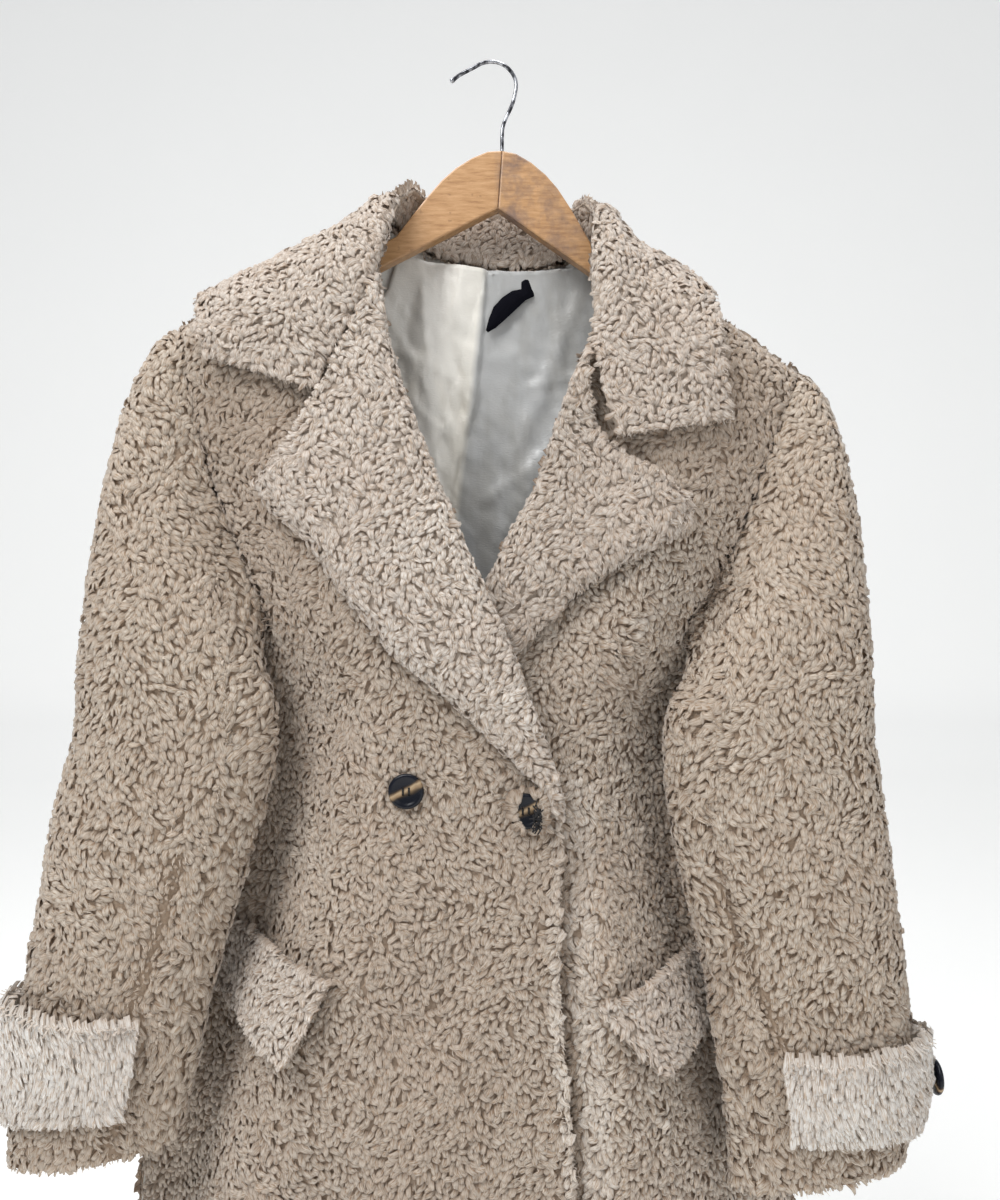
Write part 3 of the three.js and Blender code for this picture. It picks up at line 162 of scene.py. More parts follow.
def regions(points, tri):
    """Groups of faces joined over soft edges, the largest first."""
    normal, area = face_normals(points, tri)
    edges = {}
    for f, (a, b, c) in enumerate(tri):
        for u, v in ((a, b), (b, c), (c, a)):
            edges.setdefault((min(u, v), max(u, v)), []).append(f)
    near = [[] for _ in tri]
    for faces in edges.values():
        if len(faces) == 2 and normal[faces[0]] @ normal[faces[1]] > math.cos(CREASE_ANGLE):
            near[faces[0]].append(faces[1])
            near[faces[1]].append(faces[0])
    label = np.full(len(tri), -1)
    groups = []
    for first in range(len(tri)):
        if label[first] >= 0:
            continue
        label[first] = len(groups)
        todo = [first]
        members = []
        while todo:
            f = todo.pop()
            members.append(f)
            for g in near[f]:
                if label[g] < 0:
                    label[g] = len(groups)
                    todo.append(g)
        groups.append(np.array(members))
    groups.sort(key=lambda m: -area[m].sum())
    return groups


def away_from(name):
    """A function that gives the direction away from the inside of the garment at a point."""
    if name.endswith("front") or name.endswith("lapel") or name.endswith("flap"):
        return lambda p: np.tile([0.0, -1.0, 0.0], (len(p), 1))
    if name == "back":
        return lambda p: np.tile([0.0, 1.0, 0.0], (len(p), 1))
    if name == "collar_stand":
        return lambda p: np.array([0.006, -0.02, 0.0]) - p * [1, 1, 0]
    if name == "collar_fall":
        return lambda p: p - np.array([0.0, 0.005, -0.300])
    return lambda p: p - sleeve_axis(p)


def sleeve_axis(p):
    """The middle of the sleeve at each point's height."""
    heights = [-0.952, -0.810, -0.655, -0.560, -0.450, -0.250]
    right = [-0.322, -0.300, -0.270, -0.250, -0.262, -0.270]
    left = [0.252, 0.256, 0.236, 0.223, 0.236, 0.240]
    depth = [-0.060, -0.060, -0.055, -0.050, -0.010, 0.0]
    x = np.where(p[:, 0] < 0, np.interp(p[:, 2], heights, right), np.interp(p[:, 2], heights, left))
    return np.stack([x, np.interp(p[:, 2], heights, depth), p[:, 2]], axis=1)


def outer_and_rest(name, points, tri):
    """Faces of the wall's outer side, and those of its rims."""
    normal, area = face_normals(points, tri)
    middle = points[tri].mean(axis=1)
    facing = (normal * away_from(name)(middle)).sum(axis=1)
    outer, rim = [], []
    for g in regions(points, tri):
        share = area[g].sum() / area.sum()
        if share > BOTH_WALLS_SHARE:
            outer.append(g[facing[g] > 0])
        elif share > RIM_SHARE and (facing[g] * area[g]).sum() > 0:
            outer.append(g)
        elif share <= RIM_SHARE:
            rim.append(g)
    return np.concatenate(outer), np.concatenate(rim) if rim else np.zeros(0, int)


def vertex_normals(points, tri):
    """Smooth normals, weighted by the area of the faces at each point."""
    normal, area = face_normals(points, tri)
    total = np.zeros_like(points)
    for k in range(3):
        np.add.at(total, tri[:, k], normal * area[:, None])
    return unit(total)


def spread_points(points, tri, normals, spacing, rng):
    """Points about one spacing apart all over the faces, with smooth normals."""
    _, area = face_normals(points, tri)
    want = int(area.sum() / (GRID_AREA * spacing * spacing) * SCATTER) + 8
    face = rng.choice(len(tri), want, p=area / area.sum())
    u, v = rng.random((2, want, 1))
    u, v = np.where(u + v > 1, 1 - u, u), np.where(u + v > 1, 1 - v, v)
    a, b, c = (points[tri[face, k]] for k in range(3))
    na, nb, nc = (normals[tri[face, k]] for k in range(3))
    place = a + u * (b - a) + v * (c - a)
    normal = unit(na + u * (nb - na) + v * (nc - na))
    tree = kdtree.KDTree(want)
    for i, p in enumerate(place):
        tree.insert(p, i)
    tree.balance()
    alive = np.ones(want, bool)
    keep = []
    for i in range(want):
        if not alive[i]:
            continue
        keep.append(i)
        for _, j, _ in tree.find_range(place[i], spacing * THIN_TO):
            alive[j] = False
    return place[keep], normal[keep]


def new_mesh(name, points, faces, smooth=True):
    """A mesh from lists of points and of faces with any number of corners."""
    mesh = bpy.data.meshes.new(name)
    mesh.from_pydata([tuple(p) for p in points], [], [tuple(f) for f in faces])
    mesh.update()
    if smooth:
        mesh.polygons.foreach_set("use_smooth", np.ones(len(mesh.polygons), bool))
    obj = bpy.data.objects.new(name, mesh)
    bpy.context.scene.collection.objects.link(obj)
    return obj


def fast_mesh(name, points, faces):
    """A mesh straight from arrays of points and triangles."""
    mesh = bpy.data.meshes.new(name)
    mesh.vertices.add(len(points))
    mesh.vertices.foreach_set("co", points.astype(np.float32).ravel())
    mesh.loops.add(len(faces) * 3)
    mesh.loops.foreach_set("vertex_index", faces.astype(np.int32).ravel())
    mesh.polygons.add(len(faces))
    mesh.polygons.foreach_set("loop_start", np.arange(0, len(faces) * 3, 3, dtype=np.int32))
    mesh.update(calc_edges=True)
    mesh.polygons.foreach_set("use_smooth", np.ones(len(faces), bool))
    obj = bpy.data.objects.new(name, mesh)
    bpy.context.scene.collection.objects.link(obj)
    return obj


def unit(v):
    return v / np.maximum(np.linalg.norm(v, axis=1), TINY)[:, None]


def add_thickness(obj, thick, offset=-1):
    """Makes a shell solid, inwards with the offset -1 and outwards with 1."""
    solid = obj.modifiers.new("thickness", "SOLIDIFY")
    solid.thickness = thick
    solid.offset = offset
    return solid


# Fur

# Along a lock: how far it has run, how high it stands over its root, and its width
LOCK_ROWS = [
    {"run": 0.00, "high": 0.15, "wide": 0.95},
    {"run": 0.36, "high": 0.98, "wide": 1.00},
    {"run": 0.80, "high": 1.00, "wide": 0.84},
]
LOCK_TIP = {"run": 1.00, "high": 0.52}
LOCK_ROOF = 0.66
ROOT_BEHIND = 0.60
TWIST = 0.28

# Above this height the collar's fall has fur on both sides, over its crest
CREST_FUR_ABOVE = -0.205

# Fine hairs over the locks: how many to a lock, their length, half width and how they stand off
STRAY_SHARE = 0.35
STRAY_LENGTH = (3.5 * MM, 7 * MM)
STRAY_HALF = 0.30 * MM
STRAY_STAND = (0.1, 0.9)

# How far the locks turn from straight down, by broad and fine waves and by chance. Where a surface is
# nearly level they lie towards the front.
BROAD_SCALE = 14.0
BROAD_TURN = 1.3
FINE_SCALE = 55.0
FINE_TURN = 1.7
FINE_OFFSET = Vector((7, 3, 1))
CHANCE_TURN = 0.34
LEVEL = 0.25
FORWARD = np.array([0.0, -0.4, 0.0])


def comb(place, normal, curl, rng):
    """The way the locks lie: downwards, turned by smooth waves and a little by chance."""
    down = -UP - normal * (-UP * normal).sum(axis=1)[:, None]
    flat = np.linalg.norm(down, axis=1) < LEVEL
    down[flat] += FORWARD
    down -= normal * (down * normal).sum(axis=1)[:, None]
    down = unit(down)
    side = np.cross(normal, down)
    broad = np.array([noise.noise(Vector(p) * BROAD_SCALE) for p in place])
    fine = np.array([noise.noise(Vector(p) * FINE_SCALE + FINE_OFFSET) for p in place])
    chance = rng.normal(0, CHANCE_TURN, len(place))
    turn = BROAD_TURN * broad + curl * (FINE_TURN * fine + chance)
    return down * np.cos(turn)[:, None] + side * np.sin(turn)[:, None]


# Where locks get painted light and shade: the closure's edge at heights in metres, and a hollow in
# painted shade
CLOSURE_HEIGHTS = [-1.200, -0.910, -0.842, -0.784, -0.706, -0.619]
CLOSURE_X = [0.069, 0.0668, 0.0638, 0.058, 0.0545, 0.056]
EDGE_WIDTH = 0.010
GAP_WIDTH = 0.006
RIDGE_TO = 0.030
CLOSURE_TOP = -0.600

# The closure's edge in painted light, the gap beside it in painted shadow and the ridge beyond in
# painted light
EDGE_PAINTED_LIGHT = -1.4
GAP_PAINTED_SHADOW = 1.8
RIDGE_PAINTED_LIGHT = -0.8
GAP_FROM = -0.004

# Painted shade: round places on the fronts, under the collar and near the armpits, where the locks are
# darker: x and z in metres, width in metres, and how much darker
PAINTED_SHADE_HOLLOWS = [
    {"at": (-0.200, -0.312), "wide": 0.055, "dull": 1.6},
    {"at": (-0.165, -0.400), "wide": 0.040, "dull": 0.5},
    {"at": (0.175, -0.292), "wide": 0.080, "dull": 2.3},
]

# Where the sleeves' seams part the fur: x and z in metres, on the sleeves' front
PARTINGS = {
    "right_sleeve": [(-0.236, -0.653), (-0.257, -0.728), (-0.282, -0.796), (-0.288, -0.906)],
    "left_sleeve": [(0.181, -0.677), (0.195, -0.728), (0.234, -0.819)],
}
PARTING_WIDTH = 0.0055
# Painted shade in the groove of a seam's parting: how much darker its locks are
PARTING_PAINTED_SHADE = 1.3
PARTING_SHORTENS = 0.60
SLEEVE_FRONT_Y = -0.03


def parting(name, place):
    """How near the locks are to a seam that parts the fur, from 0 to 1."""
    near = np.zeros(len(place))
    for sleeve, path in PARTINGS.items():
        if not name.startswith(sleeve):
            continue
        heights = [z for _, z in reversed(path)]
        across = [x for x, _ in reversed(path)]
        off = place[:, 0] - np.interp(place[:, 2], heights, across)
        z = place[:, 2]
        inside = (z > heights[0]) & (z < heights[-1]) & (place[:, 1] < SLEEVE_FRONT_Y)
        near = np.where(inside, np.exp(-(off / PARTING_WIDTH) ** 2), 0.0)
    return near


def dullness(name, place):
    """How much darker, or paler where negative, the locks are at each place: painted shade in the
    seams' partings and in hollows, and painted light and shade along the closure.
    """
    x, z = place[:, 0], place[:, 2]
    total = PARTING_PAINTED_SHADE * parting(name, place)
    if not name.endswith("front"):
        return total
    for hollow in PAINTED_SHADE_HOLLOWS:
        (x0, z0), wide = hollow["at"], hollow["wide"]
        total += hollow["dull"] * np.exp(-((x - x0) ** 2 + (z - z0) ** 2) / wide**2)
    off = x - np.interp(z, CLOSURE_HEIGHTS, CLOSURE_X)
    low = z < CLOSURE_TOP
    if name == "right_front":
        total[low & (off > -EDGE_WIDTH)] = EDGE_PAINTED_LIGHT
    else:
        total[low & (off > GAP_FROM) & (off < GAP_WIDTH)] = GAP_PAINTED_SHADOW
        total[low & (off >= GAP_WIDTH) & (off < RIDGE_TO)] = RIDGE_PAINTED_LIGHT
    return total


# How much the locks differ from each other
LENGTH_SPREAD = (0.72, 1.28)
WIDTH_SPREAD = (0.75, 1.25)
RISE_SPREAD = 0.7 * MM
BEND_SPREAD = 0.28
SHADE_RANGE = (-1, 2.2)


def lock_arrays(place, normal, lie, row, rng, chance_share=1.0):
    """Points, triangles and data of one petal-shaped lock for each place."""
    count = len(place)
    size, curl = row["size"], row["curl"]
    length = LOCK_LENGTH * size * row["long"] * rng.uniform(*LENGTH_SPREAD, count)
    half = LOCK_HALF * size / math.sqrt(row["long"]) * rng.uniform(*WIDTH_SPREAD, count)
    rise = ROOT_DEPTH - SURFACE_DROP + RISE_SPREAD * rng.normal(0, 1, count)
    side = np.cross(normal, lie)
    tilt = TWIST * rng.normal(0, 1, count)
    bend = curl * rng.normal(0, BEND_SPREAD, count)
    # A random tone, plus the piece's dullness and the painted shade and light of each place
    chance = rng.random(count) * chance_share + row["dull"] + dullness(row["node"], place)
    chance = np.clip(chance, *SHADE_RANGE)
    shorter = 1 - PARTING_SHORTENS * parting(row["node"], place)
    length, half = length * shorter, half * shorter
    root = place - normal * ROOT_DEPTH
    rows, data = [], []

    def add(spot, run, share):
        rows.append(spot)
        data.append(np.stack([np.full(count, run), chance, np.full(count, share)], axis=1))

    for step in [*LOCK_ROWS, LOCK_TIP]:
        run = step["run"]
        spot = (root + lie * (length * (run - ROOT_BEHIND))[:, None]
                + normal * (rise * step["high"])[:, None]
                + side * (length * bend * run**2)[:, None])
        if step is LOCK_TIP:
            add(spot, run, 0.5)
            continue
        wide = half * step["wide"]
        for across in (-1, 0, 1):
            up = wide * (LOCK_ROOF if across == 0 else tilt * across)
            add(spot + side * (wide * across)[:, None] + normal * up[:, None], run, 0.5 + 0.5 * across)
    faces = []
    last = len(LOCK_ROWS) - 1
    for k in range(last):
        for c in range(2):
            first = 3 * k + c
            faces += [(first, first + 1, first + 4), (first, first + 4, first + 3)]
    tip = len(rows) - 1
    faces += [(3 * last, 3 * last + 1, tip), (3 * last + 1, 3 * last + 2, tip)]
    return joined(rows, data, faces)


STRAY_CURVE = 0.25
STRAY_MIDDLE = 0.55
STRAY_DROOP = 0.08
STRAY_TAPER = 0.8
STRAY_SHADE = 0.3
STRAY_RUNS = (0.4, 0.4, 0.6, 0.6, 0.8)


def stray_arrays(place, normal, lie, rng):
    """Fine pale hairs that stand a little off the locks."""
    count = len(place)
    length = rng.uniform(*STRAY_LENGTH, count)[:, None]
    way = unit(lie + normal * rng.uniform(*STRAY_STAND, count)[:, None])
    side = np.cross(normal, lie)
    curve = side * rng.normal(0, STRAY_CURVE, count)[:, None]
    start = place - normal * SURFACE_DROP
    middle = start + way * length * STRAY_MIDDLE
    tip = start + (way + curve) * length - normal * length * STRAY_DROOP
    half = side * STRAY_HALF
    rows = [start - half, start + half, middle - half * STRAY_TAPER,
            middle + half * STRAY_TAPER, tip]
    chance = rng.random(count) * STRAY_SHADE
    data = [np.stack([np.full(count, run), chance, np.full(count, 0.5)], axis=1)
            for run in STRAY_RUNS]
    return joined(rows, data, [(0, 1, 3), (0, 3, 2), (2, 3, 4)])


def joined(rows, data, faces):
    """One array of points, one of faces and one of data, for all the copies."""
    points = np.stack(rows, axis=1)
    count, each = points.shape[:2]
    offset = (np.arange(count) * each)[:, None, None]
    every = np.array(faces)[None] + offset
    return points.reshape(-1, 3), every.reshape(-1, 3), np.stack(data, axis=1).reshape(-1, 3)


def add_info(obj, info):
    """Stores run, chance and side of each point for the material; chance holds a random tone with
    painted shade and light added.
    """
    layer = obj.data.attributes.new("lock", "FLOAT_VECTOR", "POINT")
    layer.data.foreach_set("vector", info.astype(np.float32).ravel())


# Locks on the rims, beside those of the piece: closer, slimmer, longer, straighter and further out
RIM = {"space": 0.75, "size": 0.75, "long": 1.5, "curl": 0.5, "out": 1.2, "chance": 0.3}


def fur_piece(row, rng):
    """The fur of one node, over its outer side and out from its rims."""
    name = row["node"]
    points, tri = node_arrays(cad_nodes[name])
    outer, rim = outer_and_rest(name, points, tri)
    if name == "collar_fall":
        high = np.flatnonzero(points[tri].mean(axis=1)[:, 2] > CREST_FUR_ABOVE)
        outer = np.union1d(outer, high)
        rim = np.setdiff1d(rim, high)
    spacing = row["space"] * MM
    place, normal = spread_points(points, tri[outer], vertex_normals(points, tri[outer]), spacing, rng)
    lie = comb(place, normal, row["curl"], rng)
    chunks = [lock_arrays(place, normal, lie, row, rng)]
    some = rng.random(len(place)) < STRAY_SHARE
    chunks.append(stray_arrays(place[some], normal[some], lie[some], rng))
    if len(rim):
        closer = spacing * RIM["space"]
        place, normal = spread_points(points, tri[rim], vertex_normals(points, tri), closer, rng)
        curl = RIM["curl"] * row["curl"]
        lie = comb(place, normal, curl, rng)
        out = unit(lie + RIM["out"] * normal)
        thin = {**row, "size": row["size"] * RIM["size"], "long": RIM["long"], "curl": curl}
        chunks.append(lock_arrays(place, normal, out, thin, rng, RIM["chance"]))
        chunks.append(stray_arrays(place, normal, lie, rng))
    first = np.cumsum([0, *(len(c[0]) for c in chunks[:-1])])
    obj = fast_mesh(f"{name}_fur", np.concatenate([c[0] for c in chunks]),
                    np.concatenate([c[1] + base for c, base in zip(chunks, first)]))
    add_info(obj, np.concatenate([c[2] for c in chunks]))
    obj.data.materials.append(materials[f"fur_{row['look']}"])
    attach(obj, "root")
    return obj


# Panels with satin on their inner side
LINED = ("back", "left_front", "right_sleeve_top", "right_sleeve_under", "left_sleeve_top",
         "left_sleeve_under")


def fabric_piece(row):
    """The fabric that the fur grows from, as a shell on the solid's form."""
    name = row["node"]
    points, tri = node_arrays(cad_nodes[name])
    outer, _ = outer_and_rest(name, points, tri)
    faces = tri[outer]
    normals = vertex_normals(points, faces)
    used, faces = np.unique(faces, return_inverse=True)
    shell = points[used] - normals[used] * GROUND_DEPTH
    obj = new_mesh(f"{name}_fabric", shell, faces.reshape(-1, 3))
    add_thickness(obj, FABRIC_THICK).material_offset = 1
    ground = f"ground_{row['look']}"
    obj.data.materials.append(materials[ground])
    obj.data.materials.append(materials["satin" if name in LINED else ground])
    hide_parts(name)
    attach(obj, "root")


# Materials

class Nodes:
    """A material's node tree, with short calls to add and link nodes."""

    def __init__(self, name):
        self.material = bpy.data.materials.new(name)
        self.material.use_nodes = True
        self.tree = self.material.node_tree
        self.shader = self.tree.nodes["Principled BSDF"]

    def add(self, kind, **settings):
        node = self.tree.nodes.new(kind)
        for key, value in settings.items():
            setattr(node, key, value)
        return node

    def link(self, source, target):
        self.tree.links.new(source, target)

    def place(self):
        return self.add("ShaderNodeTexCoord").outputs["Object"]

    def split(self, vector):
        node = self.add("ShaderNodeSeparateXYZ")
        self.link(vector, node.inputs[0])
        return node.outputs

    def scaled(self, vector, x, y, z):
        node = self.add("ShaderNodeMapping")
        node.inputs["Scale"].default_value = (x, y, z)
        self.link(vector, node.inputs["Vector"])
        return node.outputs[0]

    def color(self, source):
        self.link(source, self.shader.inputs["Base Color"])

    def ramp(self, source, stops):
        node = self.add("ShaderNodeValToRGB")
        elements = node.color_ramp.elements
        while len(elements) < len(stops):
            elements.new(0.5)
        for element, (at, color) in zip(elements, stops):
            element.position = at
            element.color = (*color, 1)
        self.link(source, node.inputs[0])
        return node.outputs[0]

    def mix(self, share, first, second):
        node = self.add("ShaderNodeMix", data_type="RGBA")
        self.link(share, node.inputs[0])
        for value, socket in ((first, node.inputs[6]), (second, node.inputs[7])):
            if isinstance(value, tuple):
                socket.default_value = (*value, 1)
            else:
                self.link(value, socket)
        return node.outputs[2]

    def multiply(self, first, second, share):
        node = self.add("ShaderNodeMix", data_type="RGBA", blend_type="MULTIPLY")
        node.inputs[0].default_value = share
        self.link(first, node.inputs[6])
        self.link(second, node.inputs[7])
        return node.outputs[2]

    def math(self, kind, first, second):
        node = self.add("ShaderNodeMath", operation=kind)
        for value, socket in ((first, node.inputs[0]), (second, node.inputs[1])):
            if isinstance(value, (int, float)):
                socket.default_value = value
            else:
                self.link(value, socket)
        return node.outputs[0]

    def noise(self, vector, scale, detail=3.0, roughness=0.55):
        node = self.add("ShaderNodeTexNoise")
        node.inputs["Scale"].default_value = scale
        node.inputs["Detail"].default_value = detail
        node.inputs["Roughness"].default_value = roughness
        self.link(vector, node.inputs["Vector"])
        return node.outputs[0]

    def bump(self, height, strength, distance):
        node = self.add("ShaderNodeBump")
        node.inputs["Strength"].default_value = strength
        node.inputs["Distance"].default_value = distance
        self.link(height, node.inputs["Height"])
        self.link(node.outputs[0], self.shader.inputs["Normal"])

    def let_light_through(self, color, share):
        """Mixes in light that shines through thin fur from behind."""
        thin = self.add("ShaderNodeBsdfTranslucent")
        self.link(color, thin.inputs["Color"])
        both = self.add("ShaderNodeMixShader")
        both.inputs[0].default_value = share
        self.link(self.shader.outputs[0], both.inputs[1])
        self.link(thin.outputs[0], both.inputs[2])
        self.link(both.outputs[0], self.tree.nodes["Material Output"].inputs["Surface"])

    def set(self, **values):
        for key, value in values.items():
            self.shader.inputs[key.replace("_", " ")].default_value = value


def fur_material(look):
    """Locks with a pale ridge, painted shade on their sides and towards their roots, painted shade and
    light by place and in broad areas, and fine strands along them.
    """
    n = Nodes(f"fur_{look}")
    lock = n.add("ShaderNodeAttribute", attribute_name="lock").outputs["Vector"]
    run, chance, side = n.split(lock)
    place = n.place()
    root, tip = ROOT_PAINTED_SHADE[look], TIP[look]
    # Painted shade from the roots deep in the pile out to the fur's own colour at the tips
    along = n.ramp(run, [(0.0, blended(root, tip, 0.0)), (0.22, blended(root, tip, 0.35)),
                         (0.55, tip), (1.0, blended(root, tip, 0.88))])
    # Painted shade: each lock's sides darker, as in the shade of the crevices between locks
    side_painted_shade = n.ramp(side, [(0.0, PAINTED_SIDE_SHADE), (0.16, RIDGE_SHADE), (0.84, RIDGE_SHADE),
                           (1.0, PAINTED_SIDE_SHADE)])
    with_painted_side_shade = n.multiply(along, side_painted_shade, 0.85)
    # Darker by each lock's chance, a random tone plus the piece's dullness and the painted shade of
    # each place; paler where chance is negative, which is painted light
    darker = tuple(v * k for v, k in zip(tip, (0.62, 0.56, 0.51)))
    tone_and_painted_shade = n.mix(n.math("MULTIPLY", chance, 0.40), with_painted_side_shade, darker)
    pale = n.math("MAXIMUM", n.math("MULTIPLY", chance, -0.6), 0.0)
    with_painted_light_and_shade = n.mix(pale, tone_and_painted_shade, (0.98, 0.93, 0.86))
    # Painted shade of soft dents in the pile: broad areas at random where the locks are darker
    dent_shade_patch = n.ramp(n.noise(place, 9.0, 2.0), [(0.35, (0.0, 0.0, 0.0)), (0.68, (0.5, 0.5, 0.5))])
    with_painted_dent_shade = n.mix(dent_shade_patch, with_painted_light_and_shade, tuple(v * k for v, k in zip(tip, (0.76, 0.70, 0.66))))
    strands = n.noise(n.scaled(lock, 2.2, 90.0, 11.0), 1.0, 2.0)
    shade = n.ramp(strands, [(0.38, (0.60, 0.47, 0.35)), (0.52, (1.0, 1.0, 1.0))])
    color = n.multiply(with_painted_dent_shade, shade, 0.9)
    n.color(color)
    n.bump(strands, strength=0.6, distance=0.0012)
    n.set(Roughness=0.8, Sheen_Weight=0.35, Sheen_Roughness=0.45)
    n.let_light_through(color, 0.26)
    return n.material


def blended(first, second, share):
    return tuple(a + (b - a) * share for a, b in zip(first, second))


def ground_material(look):
    """The short dense pile between the locks, in painted shade: darker and browner than their tips."""
    n = Nodes(f"ground_{look}")
    place = n.place()
    pile = n.noise(place, 420.0, 3.0)
    # Painted shade in the gaps between the locks, close to the roots' colour
    low = blended(ROOT_PAINTED_SHADE[look], TIP[look], 0.02)
    high = blended(ROOT_PAINTED_SHADE[look], TIP[look], 0.30)
    n.color(n.mix(pile, low, high))
    n.bump(pile, strength=0.8, distance=0.0015)
    n.set(Roughness=0.95)
    return n.material


def satin_material():
    """Ivory satin, soft in gloss, with painted light and shade: beige on the wearer's right, made
    paler against the collar's shadow, a painted highlight on the pleat, slightly bluish grey painted
    shade on the left, and painted shade in its folds.
    """
    n = Nodes("lining_satin")
    place = n.place()
    x, _, z = n.split(place)
    # Painted light and shade across the lining by x and height: beige on the wearer's right made paler
    # against the collar's shadow, a painted highlight along the pleat, and grey painted shade on the
    # wearer's left
    along = n.math("ADD", n.math("MULTIPLY", z, -0.72), 0.37)
    across = n.ramp(n.math("ADD", n.math("MULTIPLY", x, 6.0), along),
                    [(0.25, (0.80, 0.775, 0.725)), (0.31, (0.97, 0.94, 0.87)),
                     (0.45, (0.95, 0.92, 0.84)), (0.485, (0.47, 0.48, 0.485))])
    clouds = n.noise(place, 22.0, 3.0)
    # Painted shade of folds, in areas at random
    painted_fold_shade = n.ramp(n.noise(n.scaled(place, 26, 26, 9), 1.0, 4.0, 0.6),
                    [(0.40, (0.66, 0.63, 0.58)), (0.56, (1.0, 1.0, 1.0))])
    stained = n.mix(n.math("MULTIPLY", clouds, 0.30), n.multiply(across, painted_fold_shade, 0.55),
                    (0.45, 0.41, 0.34))
    n.color(stained)
    fine = n.noise(n.scaled(place, 60, 60, 140), 6.0, 3.0)
    n.bump(fine, strength=0.35, distance=0.0010)
    n.set(Roughness=0.34, Sheen_Weight=0.3, Specular_IOR_Level=0.6)
    return n.material


def label_material():
    """A nearly black ribbon with a fine weave."""
    n = Nodes("label_black")
    place = n.place()
    wave = n.add("ShaderNodeTexWave", wave_type="BANDS", bands_direction="Z")
    wave.inputs["Scale"].default_value = 900.0
    wave.inputs["Distortion"].default_value = 1.0
    n.link(place, wave.inputs["Vector"])
    n.color(n.mix(wave.outputs["Fac"], (0.002, 0.002, 0.004), (0.008, 0.008, 0.012)))
    n.bump(wave.outputs["Fac"], strength=0.3, distance=0.0004)
    n.set(Roughness=0.8, Specular_IOR_Level=0.03)
    return n.material


def wood_material():
    """Varnished wood: grain along the arms, and grey stains on the right of the mitre."""
    n = Nodes("hanger_wood")
    place = n.place()
    grain = n.noise(n.scaled(place, 9, 60, 60), 7.0, 8.0, 0.65)
    base = n.ramp(grain, [(0.30, (0.27, 0.135, 0.058)), (0.46, (0.42, 0.235, 0.105)),
                          (0.66, (0.54, 0.325, 0.165))])
    fine = n.noise(n.scaled(place, 30, 300, 300), 6.0, 4.0)
    lined = n.mix(n.math("MULTIPLY", fine, 0.35), base, (0.36, 0.17, 0.05))
    spots = n.noise(n.scaled(place, 34, 34, 34), 1.0, 6.0, 0.7)
    x, _, _ = n.split(place)
    right = n.ramp(n.math("MULTIPLY", x, 16.0),
                   [(0.05, (0.0, 0.0, 0.0)), (0.14, (1.0, 1.0, 1.0)), (0.95, (0.70, 0.70, 0.70))])
    dark = n.ramp(spots, [(0.40, (0.0, 0.0, 0.0)), (0.60, (1.0, 1.0, 1.0))])
    share = n.math("MULTIPLY", n.math("MULTIPLY", dark, right), 0.85)
    stained = n.mix(share, lined, (0.13, 0.085, 0.075))
    scuffs = n.ramp(n.noise(place, 160.0, 2.0), [(0.66, (0, 0, 0)), (0.74, (1, 1, 1))])
    worn = n.mix(n.math("MULTIPLY", scuffs, 0.5), stained, (0.20, 0.10, 0.045))
    n.color(worn)
    n.bump(grain, strength=0.12, distance=0.001)
    n.set(Roughness=0.42, Coat_Weight=0.25, Coat_Roughness=0.3)
    return n.material


def chrome_material():
    """Chrome, worn dark in spots."""
    n = Nodes("hook_chrome")
    place = n.place()
    wear = n.noise(place, 160.0, 4.0)
    n.color(n.ramp(wear, [(0.40, (0.035, 0.035, 0.040)), (0.60, (0.50, 0.51, 0.54))]))
    n.link(n.math("ADD", n.math("MULTIPLY", wear, 0.35), 0.08), n.shader.inputs["Roughness"])
    n.set(Metallic=1.0)
    return n.material


def horn_material():
    """Dark navy horn with one tan streak across it from low on the left to high on the right."""
    n = Nodes("button_horn")
    own = n.add("ShaderNodeAttribute", attribute_name="own_place").outputs["Vector"]
    turned = n.add("ShaderNodeMapping")
    turned.inputs["Rotation"].default_value = (0, 0, math.radians(-28))
    n.link(own, turned.inputs["Vector"])
    _, y, _ = n.split(turned.outputs[0])
    cloud = n.noise(n.scaled(turned.outputs[0], 0.5, 1.2, 1.2), 1.0, 2.0, 0.5)
    wander = n.math("MULTIPLY", cloud, 0.60)
    across = n.math("ADD", n.math("MULTIPLY", y, 0.8), wander)
    color = n.ramp(across, [(0.10, (0.003, 0.004, 0.008)), (0.16, (0.030, 0.020, 0.012)),
                            (0.24, (0.260, 0.175, 0.100)), (0.31, (0.420, 0.310, 0.190)),
                            (0.38, (0.160, 0.105, 0.060)), (0.46, (0.022, 0.014, 0.009)),
                            (0.56, (0.003, 0.004, 0.009))])
    n.color(color)
    n.bump(cloud, strength=0.05, distance=0.0005)
    n.set(Roughness=0.25, Specular_IOR_Level=0.28)
    return n.material


def thread_material():
    """Black sewing thread."""
    n = Nodes("thread_dark")
    place = n.place()
    twist = n.noise(place, 2500.0, 2.0)
    n.color(n.mix(twist, (0.003, 0.003, 0.004), (0.012, 0.011, 0.012)))
    n.bump(twist, strength=0.4, distance=0.0003)
    n.set(Roughness=0.8)
    return n.material


def stage_material(name, color):
    n = Nodes(name)
    place = n.place()
    n.color(n.mix(n.noise(place, 3.0, 3.0), color, tuple(v * 0.97 for v in color)))
    n.set(Roughness=0.9, Emission_Color=(*color, 1), Emission_Strength=0.38)
    return n.material


# Lining and label

